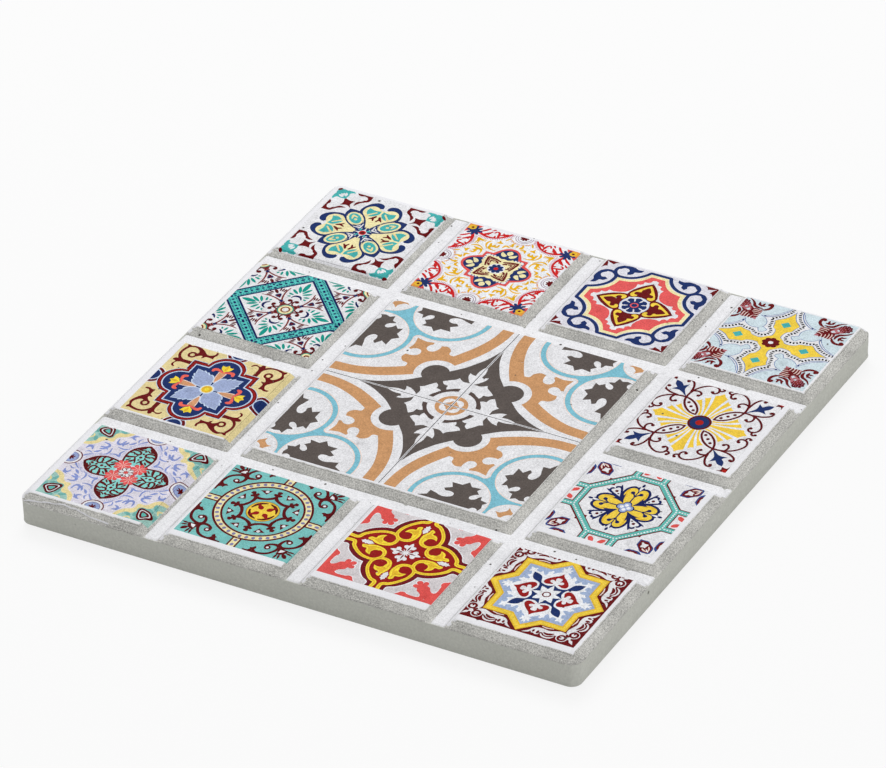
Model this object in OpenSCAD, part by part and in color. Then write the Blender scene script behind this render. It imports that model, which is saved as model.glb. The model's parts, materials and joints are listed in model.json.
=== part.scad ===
// Square cement trivet with a patchwork top: a cast slab that carries twelve small bevelled
// tiles around one large one, white joints between them and a printed face on every tile.
// Origin: centre of the plane the pads stand on. +X right, +Y back, +Z up. Millimetres.

/* [Slab] */
// Side of the square slab at its top edge
slab_side = 200; // [150:1:300]
// Height of the slab from its underside to the joints
slab_t = 8.5; // [6:0.1:14]
// Radius of the slab's upright corners at the top edge
slab_corner_r = 4.5; // [3:0.1:8]
// How far the side wall leans in between its top edge and its foot
slab_draft = 0.6; // [0.2:0.1:1.2]
// Size of the softened edge round the underside
slab_foot_edge = 0.9; // [0.4:0.1:1.6]

/* [Joints] */
// Width of the white joint between two tiles
joint_w = 4.8; // [3:0.1:8]
// Depth of the white filling below the slab's top face
joint_depth = 0.8; // [0.4:0.1:2]
// Strip of slab left standing outside each end of a joint
joint_lip = 0.4; // [0.2:0.1:1.5]

/* [Tiles] */
// Height of a tile's printed face above the joints
tile_rise = 2.3; // [1.5:0.1:5]
// Width of the sloping flank round a tile
flank_w = 3; // [1:0.1:5]

/* [Printed faces] */
// Thickness of the white coat and print on a tile
print_t = 0.3; // [0.1:0.05:0.6]

/* [Pads] */
// Diameter of a pad under the slab
pad_d = 14; // [8:0.5:20]
// Thickness of a pad
pad_t = 1.2; // [0.6:0.1:3]
// Distance of a pad's centre from the slab's side
pad_inset = 22; // [14:1:40]

/* [Hidden] */
$fn = 96;

// Tiles along one side of the slab
tiles_per_side = 4;
joints_per_side = tiles_per_side - 1;
// Footprint of a small tile, and the step from one tile to the next
tile_foot = (slab_side - joints_per_side * joint_w) / tiles_per_side;
tile_pitch = tile_foot + joint_w;
// The large tile covers two small ones and the joint between them
centre_foot = 2 * tile_foot + joint_w;
// Levels above the plane the pads stand on
slab_z = pad_t;
top_z = slab_z + slab_t;
print_z = top_z + tile_rise - print_t;
// Half the slab's side at the top edge, and at the foot of the wall
half_top = slab_side / 2;
half_foot = half_top - slab_draft;
half_under = half_foot - slab_foot_edge;
// Width that a flank loses over the height of the printed layer
print_run = flank_w * print_t / tile_rise;
// Cuts run this far past the face they open
overrun = 1;

cement = [0.69, 0.69, 0.66];
flank_cement = [0.74, 0.74, 0.72];
white_coat = [0.93, 0.93, 0.94];
pad_grey = [0.25, 0.25, 0.26];

// A bar with a trapezoid section, lying along Y
module trapezoid_bar(half_low, half_high, length, h) {
    rotate([90, 0, 0])
        linear_extrude(length, center = true)
            polygon([[-half_low, 0], [half_low, 0], [half_high, h], [-half_high, h]]);
}

// A square block whose four sides lean by the same amount
module frustum(half_low, half_high, h) {
    longest = 2 * max(half_low, half_high);
    intersection() {
        trapezoid_bar(half_low, half_high, longest, h);
        rotate([0, 0, 90])
            trapezoid_bar(half_low, half_high, longest, h);
    }
}

// A square block with leaning sides and rounded upright corners.
// The corner cones share their axes, so the walls stay tangent to them at every height.
module rounded_frustum(half_low, half_high, h) {
    corner = half_top - slab_corner_r;
    trapezoid_bar(half_low, half_high, 2 * corner, h);
    rotate([0, 0, 90])
        trapezoid_bar(half_low, half_high, 2 * corner, h);
    for (sx = [-1, 1], sy = [-1, 1])
        translate([sx * corner, sy * corner, 0])
            cylinder(h = h, r1 = half_low - corner, r2 = half_high - corner);
}

// The straight prism over the slab's top outline, which trims the corner tiles
module outline_prism(h) {
    corner = half_top - slab_corner_r;
    translate([-half_top, -corner, 0])
        cube([slab_side, 2 * corner, h]);
    translate([-corner, -half_top, 0])
        cube([2 * corner, slab_side, h]);
    for (sx = [-1, 1], sy = [-1, 1])
        translate([sx * corner, sy * corner, 0])
            cylinder(h = h, r = slab_corner_r);
}

// The pattern of joints as straight bars of one height, standing on z = 0
module joint_bars(h) {
    reach = slab_side - 2 * joint_lip;
    // The outer pair of joints runs right across, both ways
    for (side = [-1, 1]) {
        translate([side * tile_pitch - joint_w / 2, -reach / 2, 0])
            cube([joint_w, reach, h]);
        translate([-reach / 2, side * tile_pitch - joint_w / 2, 0])
            cube([reach, joint_w, h]);
    }
    // The middle joints stop at the large tile
    stub = reach / 2 - tile_pitch;
    for (turn = [0 : 90 : 270])
        rotate([0, 0, turn])
            translate([tile_pitch, -joint_w / 2, 0])
                cube([stub, joint_w, h]);
}

module base_slab() {
    color(cement)
        translate([0, 0, slab_z])
            difference() {
                union() {
                    rounded_frustum(half_under, half_foot, slab_foot_edge);
                    translate([0, 0, slab_foot_edge])
                        rounded_frustum(half_foot, half_top, slab_t - slab_foot_edge);
                }
                translate([0, 0, slab_t - joint_depth])
                    joint_bars(joint_depth + overrun);
            }
}

module joint_lattice() {
    color(white_coat)
        translate([0, 0, top_z - joint_depth])
            joint_bars(joint_depth);
}

// Places what follows over the small tile in a column and row, counted from 0
module at_tile(column, row) {
    middle = joints_per_side / 2;
    translate([(column - middle) * tile_pitch, (row - middle) * tile_pitch, 0])
        children();
}

// A tile's cement body, up to the underside of its print
module tile_body(foot) {
    frustum(foot / 2, foot / 2 - flank_w + print_run, tile_rise - print_t);
}

module print_layer(foot) {
    frustum(foot / 2 - flank_w + print_run, foot / 2 - flank_w, print_t);
}

module border_tile(column, row) {
    color(flank_cement)
        translate([0, 0, top_z])
            intersection() {
                at_tile(column, row)
                    tile_body(tile_foot);
                outline_prism(tile_rise);
            }
}

module border_print(column, row, ink) {
    color(ink)
        translate([0, 0, print_z])
            at_tile(column, row)
                print_layer(tile_foot);
}

module tile_centre() {
    color(flank_cement)
        translate([0, 0, top_z])
            tile_body(centre_foot);
}

module tile_front_left() { border_tile(0, 0); }
module tile_front_mid_left() { border_tile(1, 0); }
module tile_front_mid_right() { border_tile(2, 0); }
module tile_front_right() { border_tile(3, 0); }
module tile_right_mid_front() { border_tile(3, 1); }
module tile_right_mid_back() { border_tile(3, 2); }
module tile_back_right() { border_tile(3, 3); }
module tile_back_mid_right() { border_tile(2, 3); }
module tile_back_mid_left() { border_tile(1, 3); }
module tile_back_left() { border_tile(0, 3); }
module tile_left_mid_back() { border_tile(0, 2); }
module tile_left_mid_front() { border_tile(0, 1); }

module print_centre() {
    color([0.33, 0.29, 0.27])
        translate([0, 0, print_z])
            print_layer(centre_foot);
}

module print_front_left() { border_print(0, 0, [0.68, 0.72, 0.88]); }
module print_front_mid_left() { border_print(1, 0, [0.42, 0.76, 0.71]); }
module print_front_mid_right() { border_print(2, 0, [0.92, 0.37, 0.36]); }
module print_front_right() { border_print(3, 0, [0.48, 0.11, 0.11]); }
module print_right_mid_front() { border_print(3, 1, [0.62, 0.85, 0.81]); }
module print_right_mid_back() { border_print(3, 2, [0.95, 0.80, 0.30]); }
module print_back_right() { border_print(3, 3, [0.80, 0.87, 0.90]); }
module print_back_mid_right() { border_print(2, 3, [0.14, 0.19, 0.42]); }
module print_back_mid_left() { border_print(1, 3, [0.92, 0.60, 0.50]); }
module print_back_left() { border_print(0, 3, [0.18, 0.25, 0.50]); }
module print_left_mid_back() { border_print(0, 2, [0.30, 0.68, 0.65]); }
module print_left_mid_front() { border_print(0, 1, [0.96, 0.90, 0.68]); }

module foot_pads() {
    place = half_top - pad_inset;
    color(pad_grey)
        for (sx = [-1, 1], sy = [-1, 1])
            translate([sx * place, sy * place, 0])
                cylinder(h = pad_t, d = pad_d);
}

base_slab();
joint_lattice();
tile_centre();
tile_front_left();
tile_front_mid_left();
tile_front_mid_right();
tile_front_right();
tile_right_mid_front();
tile_right_mid_back();
tile_back_right();
tile_back_mid_right();
tile_back_mid_left();
tile_back_left();
tile_left_mid_back();
tile_left_mid_front();
print_centre();
print_front_left();
print_front_mid_left();
print_front_mid_right();
print_front_right();
print_right_mid_front();
print_right_mid_back();
print_back_right();
print_back_mid_right();
print_back_mid_left();
print_back_left();
print_left_mid_back();
print_left_mid_front();
foot_pads();
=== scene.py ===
import json

import bpy
import numpy as np
from mathutils import Matrix, Vector, geometry

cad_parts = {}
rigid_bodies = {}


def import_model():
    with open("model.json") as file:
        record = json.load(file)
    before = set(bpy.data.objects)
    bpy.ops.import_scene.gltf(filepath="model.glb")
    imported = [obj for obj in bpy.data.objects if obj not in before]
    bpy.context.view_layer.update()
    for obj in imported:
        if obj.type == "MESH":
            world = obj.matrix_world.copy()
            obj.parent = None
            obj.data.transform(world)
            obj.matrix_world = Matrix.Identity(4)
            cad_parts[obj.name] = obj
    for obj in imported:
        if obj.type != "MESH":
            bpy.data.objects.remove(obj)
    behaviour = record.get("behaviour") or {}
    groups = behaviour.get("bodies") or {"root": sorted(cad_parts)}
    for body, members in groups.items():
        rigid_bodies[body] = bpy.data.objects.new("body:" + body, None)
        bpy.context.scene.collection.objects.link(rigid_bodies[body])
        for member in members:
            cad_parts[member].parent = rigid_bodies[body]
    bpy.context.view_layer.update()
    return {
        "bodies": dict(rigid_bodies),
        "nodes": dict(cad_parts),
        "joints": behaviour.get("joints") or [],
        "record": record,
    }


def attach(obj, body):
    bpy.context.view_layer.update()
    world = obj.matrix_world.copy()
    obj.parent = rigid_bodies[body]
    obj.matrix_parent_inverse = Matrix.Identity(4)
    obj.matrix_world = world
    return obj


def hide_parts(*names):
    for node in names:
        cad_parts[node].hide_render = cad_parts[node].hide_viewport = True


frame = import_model()

# Sizes of the trivet in millimetres, as in the part's source
HALF = 100.0        # half the slab's side at its top edge
CORNER = 4.5        # radius of its upright corners
UNDER = 1.2         # height of the slab's underside over the table
LEVEL = 9.7         # height of the joints and of the tiles' feet
RISE = 2.3          # a tile's printed face over the joints
FLANK = 3.0         # width of a tile's sloping flank
PITCH = 51.2        # from one small tile to the next
TOP = 20.2          # half the flat top of a small tile
BIG_TOP = 45.8      # half the flat top of the centre tile
GAP = 2.4           # half the width of a joint
COAT = 0.3          # thickness of the printed layer
JOINT_DEPTH = 0.8   # depth of the channels between the tiles in the slab

# Sizes that only the looks have
LEFT_MORE = 0.7     # how much further the tiles' flat tops reach to the left than to the right
BACK_MORE = 1.0     # the same to the back
FAR_BACK = {"right_mid_front": 1.5, "right_mid_back": 1.8}  # tiles where that is more
MOTIF = 1.015       # one unit of the drawn patterns in millimetres
BASE = 0.08         # how deep the tiles' blocks reach below the joints

# Printing inks and coats as sRGB shades, 0 to 255
INKS = {
    "white": (230, 230, 233), "frost": (236, 238, 242), "ice": (226, 232, 244), "mist": (223, 219, 230),
    "lilac": (222, 221, 230), "dove": (212, 206, 208), "navy": (24, 46, 100), "navydeep": (12, 26, 84),
    "slate": (132, 130, 170), "bluegrey": (158, 172, 208), "lightblue": (200, 218, 240),
    "peri": (150, 166, 208), "hyacinth": (160, 178, 210), "wash": (132, 147, 204),
    "lace": (192, 194, 224), "steel": (104, 128, 172), "delft": (44, 72, 136), "ink": (12, 10, 18),
    "maroon": (102, 8, 12), "wine": (88, 4, 10), "maroonred": (148, 22, 20), "plum": (108, 14, 26),
    "brick": (168, 28, 20), "rust": (126, 44, 42), "rosewood": (178, 106, 114), "red": (200, 30, 30),
    "coral": (222, 84, 80), "corallight": (238, 104, 88), "blossom": (228, 92, 92),
    "petalpink": (198, 134, 156), "blush": (238, 216, 206), "dusk": (168, 148, 164),
    "teal": (70, 175, 174), "tealdeep": (24, 110, 116), "jade": (12, 148, 134),
    "tealgrey": (116, 178, 172), "aqua": (122, 193, 190), "mint": (158, 200, 190),
    "aquabright": (86, 194, 188), "wing": (138, 214, 208), "aquadeep": (96, 184, 175),
    "pale": (206, 222, 229), "sky": (126, 190, 208), "yellow": (241, 207, 72), "sunny": (246, 220, 62),
    "sun": (240, 202, 68), "gold": (228, 184, 48), "marigold": (230, 176, 10), "cream": (240, 229, 176),
    "sand": (232, 216, 158), "straw": (228, 211, 155), "orange": (232, 158, 70),
    "ochre": (202, 151, 105), "tan": (212, 154, 112), "umber": (84, 70, 66), "brown": (90, 82, 78),
}


def linear(shade):
    """The shader's linear red, green and blue of an sRGB shade given from 0 to 255."""
    share = np.asarray(shade, float) / 255
    return np.where(share <= 0.04045, share / 12.92, ((share + 0.055) / 1.055) ** 2.4)


# The shade and cover of a triangle that nothing is printed on
BARE = np.r_[linear(INKS["white"]), 0.0]


# Drawing the patterns. A shape is a list of closed outlines in pattern units, x right and y back.

def path(points, closed=True, steps=None):
    """A smooth line through given points: cubic Hermite pieces whose slope at a point is the
    direction from the point before to the point after. One written (x, y, 1) stays a corner."""
    knots = np.array([p[:2] for p in points], float)
    sharp = np.array([len(p) > 2 for p in points])
    count = len(knots)
    before = np.roll(knots, 1, 0) if closed else np.vstack([knots[:1], knots[:-1]])
    after = np.roll(knots, -1, 0) if closed else np.vstack([knots[1:], knots[-1:]])
    lean = after - before
    lean /= np.maximum(np.linalg.norm(lean, axis=1, keepdims=True), 1e-9)
    start = np.arange(count if closed else count - 1)
    end = (start + 1) % count
    chord = knots[end] - knots[start]
    length = np.linalg.norm(chord, axis=1, keepdims=True)
    leave = np.where(sharp[start, None], chord, lean[start] * length)[:, None]
    arrive = np.where(sharp[end, None], chord, lean[end] * length)[:, None]
    if steps is None:
        steps = int(np.clip(np.ceil(length.max() / 0.6), 2, 7))
    t = (np.arange(steps) / steps)[None, :, None]
    curve = (2*t**3 - 3*t**2 + 1) * knots[start][:, None] + (t**3 - 2*t**2 + t) * leave
    curve = curve + (3*t**2 - 2*t**3) * knots[end][:, None] + (t**3 - t**2) * arrive
    curve = curve.reshape(-1, 2)
    return curve if closed else np.vstack([curve, knots[-1:]])


def fill(*points, steps=None):
    return [path(points, True, steps)]


def poly(*points):
    return [np.array(points, float)]


def band(points, width):
    """A brush line: the smooth line with half its width set off to each side and a round end at
    both ends. The width is one number, or several spread evenly along the line; the ink spreads
    by another 0.1."""
    line = path(points, False)
    wide = np.atleast_1d(np.asarray(width, float))
    marks = max(len(wide), 2)
    half = np.interp(np.linspace(0, 1, len(line)), np.linspace(0, 1, marks), np.resize(wide, marks))
    half = half[:, None] / 2 + 0.05
    along = np.gradient(line, axis=0)
    along /= np.maximum(np.linalg.norm(along, axis=1, keepdims=True), 1e-9)
    side = np.stack([-along[:, 1], along[:, 0]], 1)
    left = line + side * half
    right = line - side * half
    turn = np.radians([45, 90, 135])[:, None]
    tip = line[-1] + half[-1] * (side[-1] * np.cos(turn) + along[-1] * np.sin(turn))
    tail = line[0] + half[0] * (-side[0] * np.cos(turn) - along[0] * np.sin(turn))
    return [np.vstack([left, tip, right[::-1], tail])[::-1]]


def rotation(turn):
    """The matrix that turns points, written as rows, by an angle in degrees."""
    t = np.radians(turn)
    return np.array([[np.cos(t), np.sin(t)], [-np.sin(t), np.cos(t)]])


def disc(x, y, r, ry=None, turn=0, count=None):
    """An ellipse, with enough corners that no chord is 0.02 off the curve."""
    count = count or int(np.clip(15 * np.sqrt(r), 9, 96))
    a = np.arange(count) * 2 * np.pi / count
    return [np.stack([r * np.cos(a), (ry or r) * np.sin(a)], 1) @ rotation(turn) + (x, y)]


def ring(x, y, r, width):
    return [disc(x, y, r + width/2)[0], disc(x, y, r - width/2)[0][::-1]]


def petal(x, y, turn, length, width, sharp=1.0):
    """A leaf from (x, y) towards turn: its half width is a sine of the length to the power sharp."""
    s = np.linspace(0, 1, 8)
    w = width/2 * np.maximum(np.sin(np.pi * s), 0)**sharp
    edge = np.vstack([np.stack([s*length, -w], 1), np.stack([s*length, w], 1)[::-1][1:-1]])
    return [edge @ rotation(turn) + (x, y)]


def rose(x, y, count, inner, outer, turn=0, power=1.0):
    """A flower: its radius swings between two values as the absolute cosine of half the petals'
    angle, raised to power."""
    a = np.linspace(0, 2 * np.pi, count * 9, endpoint=False)
    reach = inner + (outer - inner) * np.abs(np.cos(count * (a - np.radians(turn)) / 2))**power
    return [np.stack([x + reach*np.cos(a), y + reach*np.sin(a)], 1)]


def star(x, y, count, inner, outer, turn=0):
    a = np.radians(turn) + np.arange(2 * count) * np.pi / count
    reach = np.where(np.arange(2 * count) % 2 == 0, outer, inner)
    return [np.stack([x + reach*np.cos(a), y + reach*np.sin(a)], 1)]


def moved(shape, dx=0, dy=0, turn=0, flip=False):
    """The shape mirrored left to right, turned and shifted, in that order."""
    return [(loop[::-1] * (-1, 1) if flip else loop) @ rotation(turn) + (dx, dy) for loop in shape]


def swap(shape):
    """The shape mirrored on the diagonal."""
    return [loop[::-1, ::-1] for loop in shape]


def doubled(half):
    """The points, then the mirror images over the diagonal of those beside it, in reverse."""
    return [*half, *[(y, x, *w) for x, y, *w in half[::-1] if x != y]]


def turned(points):
    """A run of points from the back towards the right, repeated by quarter turns to a loop."""
    return [(x, y, *w) if k == 0 else (y, -x, *w) if k == 1 else (-x, -y, *w) if k == 2 else (-y, x, *w)
            for k in range(4) for x, y, *w in points]


def across(points, width, step, length, start=0.0):
    """Short strokes set square across a smooth line, evenly spaced along it."""
    line = path(points, False, 8)
    gap = np.cumsum(np.r_[0, np.linalg.norm(np.diff(line, axis=0), axis=1)])
    out = []
    for at in np.arange(start, gap[-1], step):
        p = np.array([np.interp(at, gap, line[:, 0]), np.interp(at, gap, line[:, 1])])
        i = min(np.searchsorted(gap, at, side="right"), len(gap) - 1)
        v = (line[i] - line[i-1]) / max(gap[i] - gap[i-1], 1e-9)
        n = np.array([-v[1], v[0]]) * length / 2
        v = v * width / 2
        out.append(np.array([p - n - v, p + n - v, p + n + v, p - n + v])[::-1])
    return out


class Sheet:
    """A pattern: a ground shade and layers of ink, each lying over the ones before it. The ground
    reaches half to every side, or as far as right on that side."""

    def __init__(self, ground, half=20.3, right=None):
        self.ground = ground
        self.reach = np.array([half, half])
        self.far = np.array([right or half, half])
        self.layers = []

    def lay(self, turns, ink, *shapes, mirror=False):
        """Lays shapes on, repeated round the middle, and each also mirrored if asked."""
        for shape in shapes:
            for k in range(turns):
                self.layers.append((ink, moved(shape, turn=360*k/turns)))
                if mirror:
                    self.layers.append((ink, moved(shape, turn=360*k/turns, flip=True)))

    def one(self, ink, *shapes):
        self.lay(1, ink, *shapes)

    def four(self, ink, *shapes):
        self.lay(4, ink, *shapes)

    def eight(self, ink, *shapes):
        self.lay(4, ink, *shapes, mirror=True)


# The thirteen patterns, named for what they show

def lobed_flower():
    s = Sheet("white")
    # corner brackets, star and sprig
    s.eight("maroon", fill((7, 17.6), (7.1, 19.8, 1), (13, 19.8, 1), (12.2, 18.9), (10.9, 18.7),
        (10.2, 19), (9.3, 18.9), (8.5, 18.4), (8.3, 17.3), (9, 16.8), (9.6, 15.9), (10.4, 15.4),
        (10.9, 14.5), (10.9, 13.6), (10.6, 12.4, 1), (10.1, 13.7), (9.3, 15), (8.2, 15.9), (7.3, 16.6)))
    s.four("maroon", fill((11.4, 15.1, 1), (13.3, 14.9), (15.8, 15.8, 1), (14.9, 13.3), (15.1, 11.4, 1),
        (13, 12.1), (11, 11, 1), (12.1, 13)))
    s.four("teal", fill(*doubled([(15.2, 15.2, 1), (15, 17.2), (15.2, 18.5), (13.6, 19.4, 1),
        (14.4, 20, 1), (20, 20, 1)])))
    s.eight("white", petal(15.8, 16.4, 68, 2.3, 1, .8),
        fill((16.6, 16.4, 1), (17.3, 16.9), (17.4, 18), (16.8, 17.6)), petal(16.6, 19.8, 30, 2, .7, .8))
    s.four("maroon", disc(19.6, 19.6, .9, .6, -45))
    # big lobes on the axes
    s.eight("navy", fill((.7, 15.2), (1.2, 16.9), (2.9, 17.6), (4.7, 17.1), (6.3, 15.5), (7.2, 13.3),
        (7.4, 11.4), (6.9, 10.2, 1), (0, .5, 1), (0, 13, 1), (1.4, 14.6)))
    s.eight("cream", fill((0, 1.2, 1), (1.1, 3.6), (2.5, 6.6), (4.5, 9), (6.1, 10.9), (6.25, 12.9),
        (5.6, 14.3), (4.4, 15.2), (3, 15.3), (1.6, 14.7), (.9, 14.2), (0, 13.9, 1)))
    s.eight("white", fill((0, 14.1, 1), (.9, 14.5), (.5, 15.6), (0, 16, 1)))
    s.eight("teal", fill((.4, 13.6, 1), (2.6, 13.2), (4.9, 13.9, 1), (5.1, 11.9), (4.4, 10.6),
        (3.6, 9.4), (2.3, 9.7), (1.2, 10.6), (.4, 11.8)))
    s.eight("sand", band([(1.6, 12.3), (2.8, 11), (4.2, 9.3)], (.5, .5, .9)))
    s.eight("maroon", band([(.7, 10.2), (1.2, 9.2), (2.2, 8.2)], (.7, .9, .4)),
        band([(1.3, 9.2), (.6, 7.6)], (.9, .4)))
    # ovals on the diagonals
    s.four("navy", fill((1.6, 1.6, 1), (1.6, 3.3), (2.1, 5.7), (3.9, 8.5), (6.4, 10.4), (8.2, 11),
        (10.9, 10.8, 1), (11, 8.2), (10.4, 6.4), (8.5, 3.9), (5.7, 2.1), (3.3, 1.6)))
    s.eight("cream", band([(2.7, 5.1), (3.7, 7.1), (5.4, 8.9), (6.7, 9.7)], (.05, .2, .2, .05)))
    s.four("cream", disc(6.45, 6.45, 3.95, 2.55, 45))
    s.four("teal", disc(6.45, 6.45, 3.2, 1.95, 45))
    s.four("sand", band([(6.1, 7.4), (7.9, 7.9, 1), (7.4, 6.1)], (.4, .8, .4)), disc(6, 6, .55))
    s.four("white", band([(2.2, 4.7), (2.3, 2.4, 1), (2.3, 2.3, 1), (4.7, 2.2)], (.2, .6, .6, .2)),
        band([(2.9, 3.7), (3.1, 3.1, 1), (3.7, 2.9)], .3))
    # centre
    s.one("white", disc(0, 0, 2.4))
    s.four("navy", band([(.5, 2.9), (1.3, 1.3), (2.9, .5)], (.5, 1, .5)))
    s.eight("navy", band([(.6, 1.8), (.4, 3)], (.6, .4)))
    s.four("teal", disc(1.5, 1.5, .7, .4, 45))
    s.one("red", disc(0, 0, 1.25))
    s.one("maroon", disc(0, 0, .8))
    return s


def light_cross():
    s = Sheet("pale")
    # white band with black dots between the pale fields and the yellow cross
    field = [(2.5, 20.8), (3.1, 18.6), (4.3, 16.5), (5.8, 14.9), (7.7, 13.6), (9.6, 12.9, 1), (7.6, 12),
        (6.4, 10.6), (5.9, 9), (6.2, 7.1, 1), (5.1, 6.6), (4.3, 5.8)]
    field = doubled(field)
    s.four("white", fill(*field, (20.8, -.4, 1), (0, 0, 1), (-.4, 20.8, 1)))
    s.four("steel", band(field, .34))
    s.four("pale", fill(*field, (20.8, 20.8, 1)))
    inner = [(1.9, 20.8), (2.5, 18.4), (3.7, 16.1), (5.2, 14.4), (7, 13.1), (8.2, 12.8)]
    s.eight("steel", band(inner, .25))
    s.eight("navy", disc(8, 13.1, .35))
    arm = [(0, 18.6, 1), (.4, 17.2), (1, 15.8), (2, 14.2), (3.5, 12.8), (4.1, 12, 1), (3.5, 10.7),
        (3.2, 9.3), (2.9, 8.3), (1.8, 7.3), (1.3, 5.5), (1.4, 3.9), (2.6, 2.6)]
    grown = [(x + .25, y + .1, *w) for x, y, *w in arm[1:-1]]
    s.eight("steel", fill((-.1, 19.5, 1), *grown, (2.75, 2.75, 1), (0, 0, 1)))
    s.eight("yellow", fill(*arm, (0, 0, 1)))
    s.four("ink", across([(1.3, 20.6), (1.4, 18.6), (2, 16.9), (3, 15.3), (4.3, 13.9), (5.5, 12.7, 1),
        (4.8, 11.3), (4.5, 9.8), (4.3, 8.2), (3.2, 6.9), (2.8, 5.4), (3, 4), (4, 3), (5.4, 2.8),
        (6.9, 3.2), (8.2, 4.3), (9.8, 4.5), (11.3, 4.8), (12.7, 5.5, 1), (13.9, 4.3), (15.3, 3),
        (16.9, 2), (18.6, 1.4), (20.6, 1.3)], .6, 1.06, .95, .3))
    s.four("teal", poly((0, 9.3), (1.75, 11.1), (0, 12.9), (-1.75, 11.1)))
    s.one("maroon", rose(0, 0, 8, 2.2, 2.9, 0, power=.6))
    s.one("white", disc(0, 0, .8))
    # maroon leaves and fruit in the corners
    s.four("rosewood", fill((9.8, 9.9, 1), (10.3, 12.6), (10, 15.2), (12.4, 15.2), (14.2, 16.4),
        (15.2, 17.8), (16.6, 17), (17, 16.6), (17.8, 15.2), (16.4, 14.2), (15.2, 12.4), (15.2, 10),
        (12.6, 10.3)))
    s.eight("maroon", band([(9.5, 19.7), (8.9, 20), (8.4, 19), (8.5, 17.4), (9.4, 16.2), (10.5, 15.6)],
            (.5, .9, .9, 1, .9, .4)),
        disc(9.3, 19.3, .7),
        band([(10.7, 16.4), (12.2, 16.4), (13.4, 17), (14, 18.1), (14.9, 19.3), (16.4, 20.3)],
            (.5, .95, 1, .8, .55, .2)),
        petal(11.2, 17.5, 96, 2.2, .8), petal(11.9, 17.5, 66, 2.5, .8),
        band([(10.3, 17.9), (11.4, 17.8), (12.7, 18.2)], (.4, 1, .4)))
    for y, x, wide in ((14.4, 13.4, .6), (13.5, 13.2, .75), (12.5, 12.7, .75), (11.5, 11.9, .7)):
        s.eight("maroon", band([(10, y), (x - 1.3, y), (x - .5, y - .3), (x, y - .8)],
            (.3, wide, wide, .6)))
        s.eight("blush", band([(10.1, y + .5), (x - 1.2, y + .5), (x - .5, y + .2)], (.1, .22, .1)))
    s.four("maroon", disc(12.6, 12.6, 1, .7, 45))
    s.eight("maroon", band([(10.6, 15.3), (12.2, 15.5), (13.5, 15.2)], (.2, .5, .3)),
        band([(13.2, 13.9), (13.3, 15.2), (14.2, 16.3)], (.6, .7, .4)))
    s.four("pale", fill((13.6, 14.3), (14, 14.6), (14.3, 15.2), (14.7, 14.7), (15.2, 14.3), (14.6, 14),
        (14.3, 13.6), (14, 14)))
    s.four("wine", rose(17.3, 17.3, 9, 1.6, 2.25, 0, power=.5))
    s.four("rust", disc(16.6, 16.6, 1.3))
    for k in range(5):
        for m in range(5):
            if 1 < (k - 2)**2 + (m - 2)**2 < 6 or (k, m) == (2, 2):
                s.four("petalpink", disc(17.2 + .7*(k-2), 17.2 + .7*(m-2), .17, count=6))
    s.four("pale", disc(15.6, 15.6, .5, .38, -45))
    return s


def octagon_star():
    s = Sheet("lilac")
    s.four("maroon", fill((15.5, 20.2, 1), (20.4, 20.4, 1), (20.2, 15.5, 1), (19.4, 16.6),
        (18.5, 17, 1), (18.9, 18), (19.2, 19.2, 1), (18, 18.9), (17, 18.5, 1), (16.6, 19.4)))
    s.four("lilac", petal(17.4, 17.4, 45, 3.4, .6))
    s.eight("navy", band([(-.2, 19.15, 1), (3.6, 19.15, 1), (4.5, 17.3), (6.2, 15.2), (8.6, 13.6),
            (10.9, 13.1), (12.8, 13.2), (14.2, 14.4), (14.8, 15.9), (14.5, 17.6), (13.2, 18.9)], 1.15),
        fill((15.2, 17.1), (14, 18.9), (11.9, 19.8), (9.8, 19.8), (8.2, 19.1), (6.3, 19.4, 1),
            (6.7, 18), (7.8, 17.4), (8.6, 17.1), (8.8, 15.9), (10.2, 14.9, 1), (10.8, 16.2), (10.5, 17),
            (11.3, 18), (12.6, 18.1), (13.9, 17)))

    def frame(*side):
        return fill(*turned(doubled(side) + [(side[0][1], 0)]))

    s.one("cream", frame((3.1, 18.45, 1), (4, 16.5), (5.6, 14.5), (8, 12.9), (10.6, 12.3),
        (12.4, 12.4, 1)))
    s.one("blossom", frame((2.4, 17.15, 1), (3.4, 15.3), (5.1, 13.2), (7.6, 11.7), (9.6, 11.2),
        (11, 11, 1)))
    saw = [(0, 15.7), (1.1, 15.3), (1.2, 14.2), (2, 13.6), (3.1, 13.5), (3, 12.3), (3.7, 11.6),
        (4.7, 11.5), (4.4, 9.9), (4.8, 8.1), (5.5, 6.7), (6, 6)]
    s.one("white", poly(*turned(doubled(saw)[:-1])))
    s.four("maroon", fill((0, 13.8, 1), (2.3, 11.5), (4, 9), (4.9, 6.8), (5.1, 5.1, 1), (3.8, 3.8, 1),
        (1.6, 4.2), (0, 5, 1), (-1.6, 4.2), (-3.8, 3.8, 1), (-5.1, 5.1, 1), (-4.9, 6.8), (-4, 9),
        (-2.3, 11.5)))
    s.eight("yellow", fill((0, 12.5, 1), (1.3, 11), (2.8, 8.8), (3.9, 7), (4.3, 5.7), (3.8, 4.7),
        (2.8, 4.5), (1.9, 5.1), (2, 5.8), (2.9, 5.9), (3.3, 6.5), (3, 7.4), (2.2, 7.6), (1.5, 7.9),
        (1.6, 8.8), (1, 9.9), (.4, 10.8), (0, 11.1, 1)))
    s.one("lightblue", disc(0, 0, 4.9))
    s.one("white", disc(0, 0, 4.6))
    s.one("navy", rose(0, 0, 8, 3.2, 4.3, 0, power=.5))
    s.lay(8, "white", moved(petal(0, 2, 90, 2.2, .55), turn=22.5))
    s.one("blossom", ring(0, 0, 1.2, .45))
    return s


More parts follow.
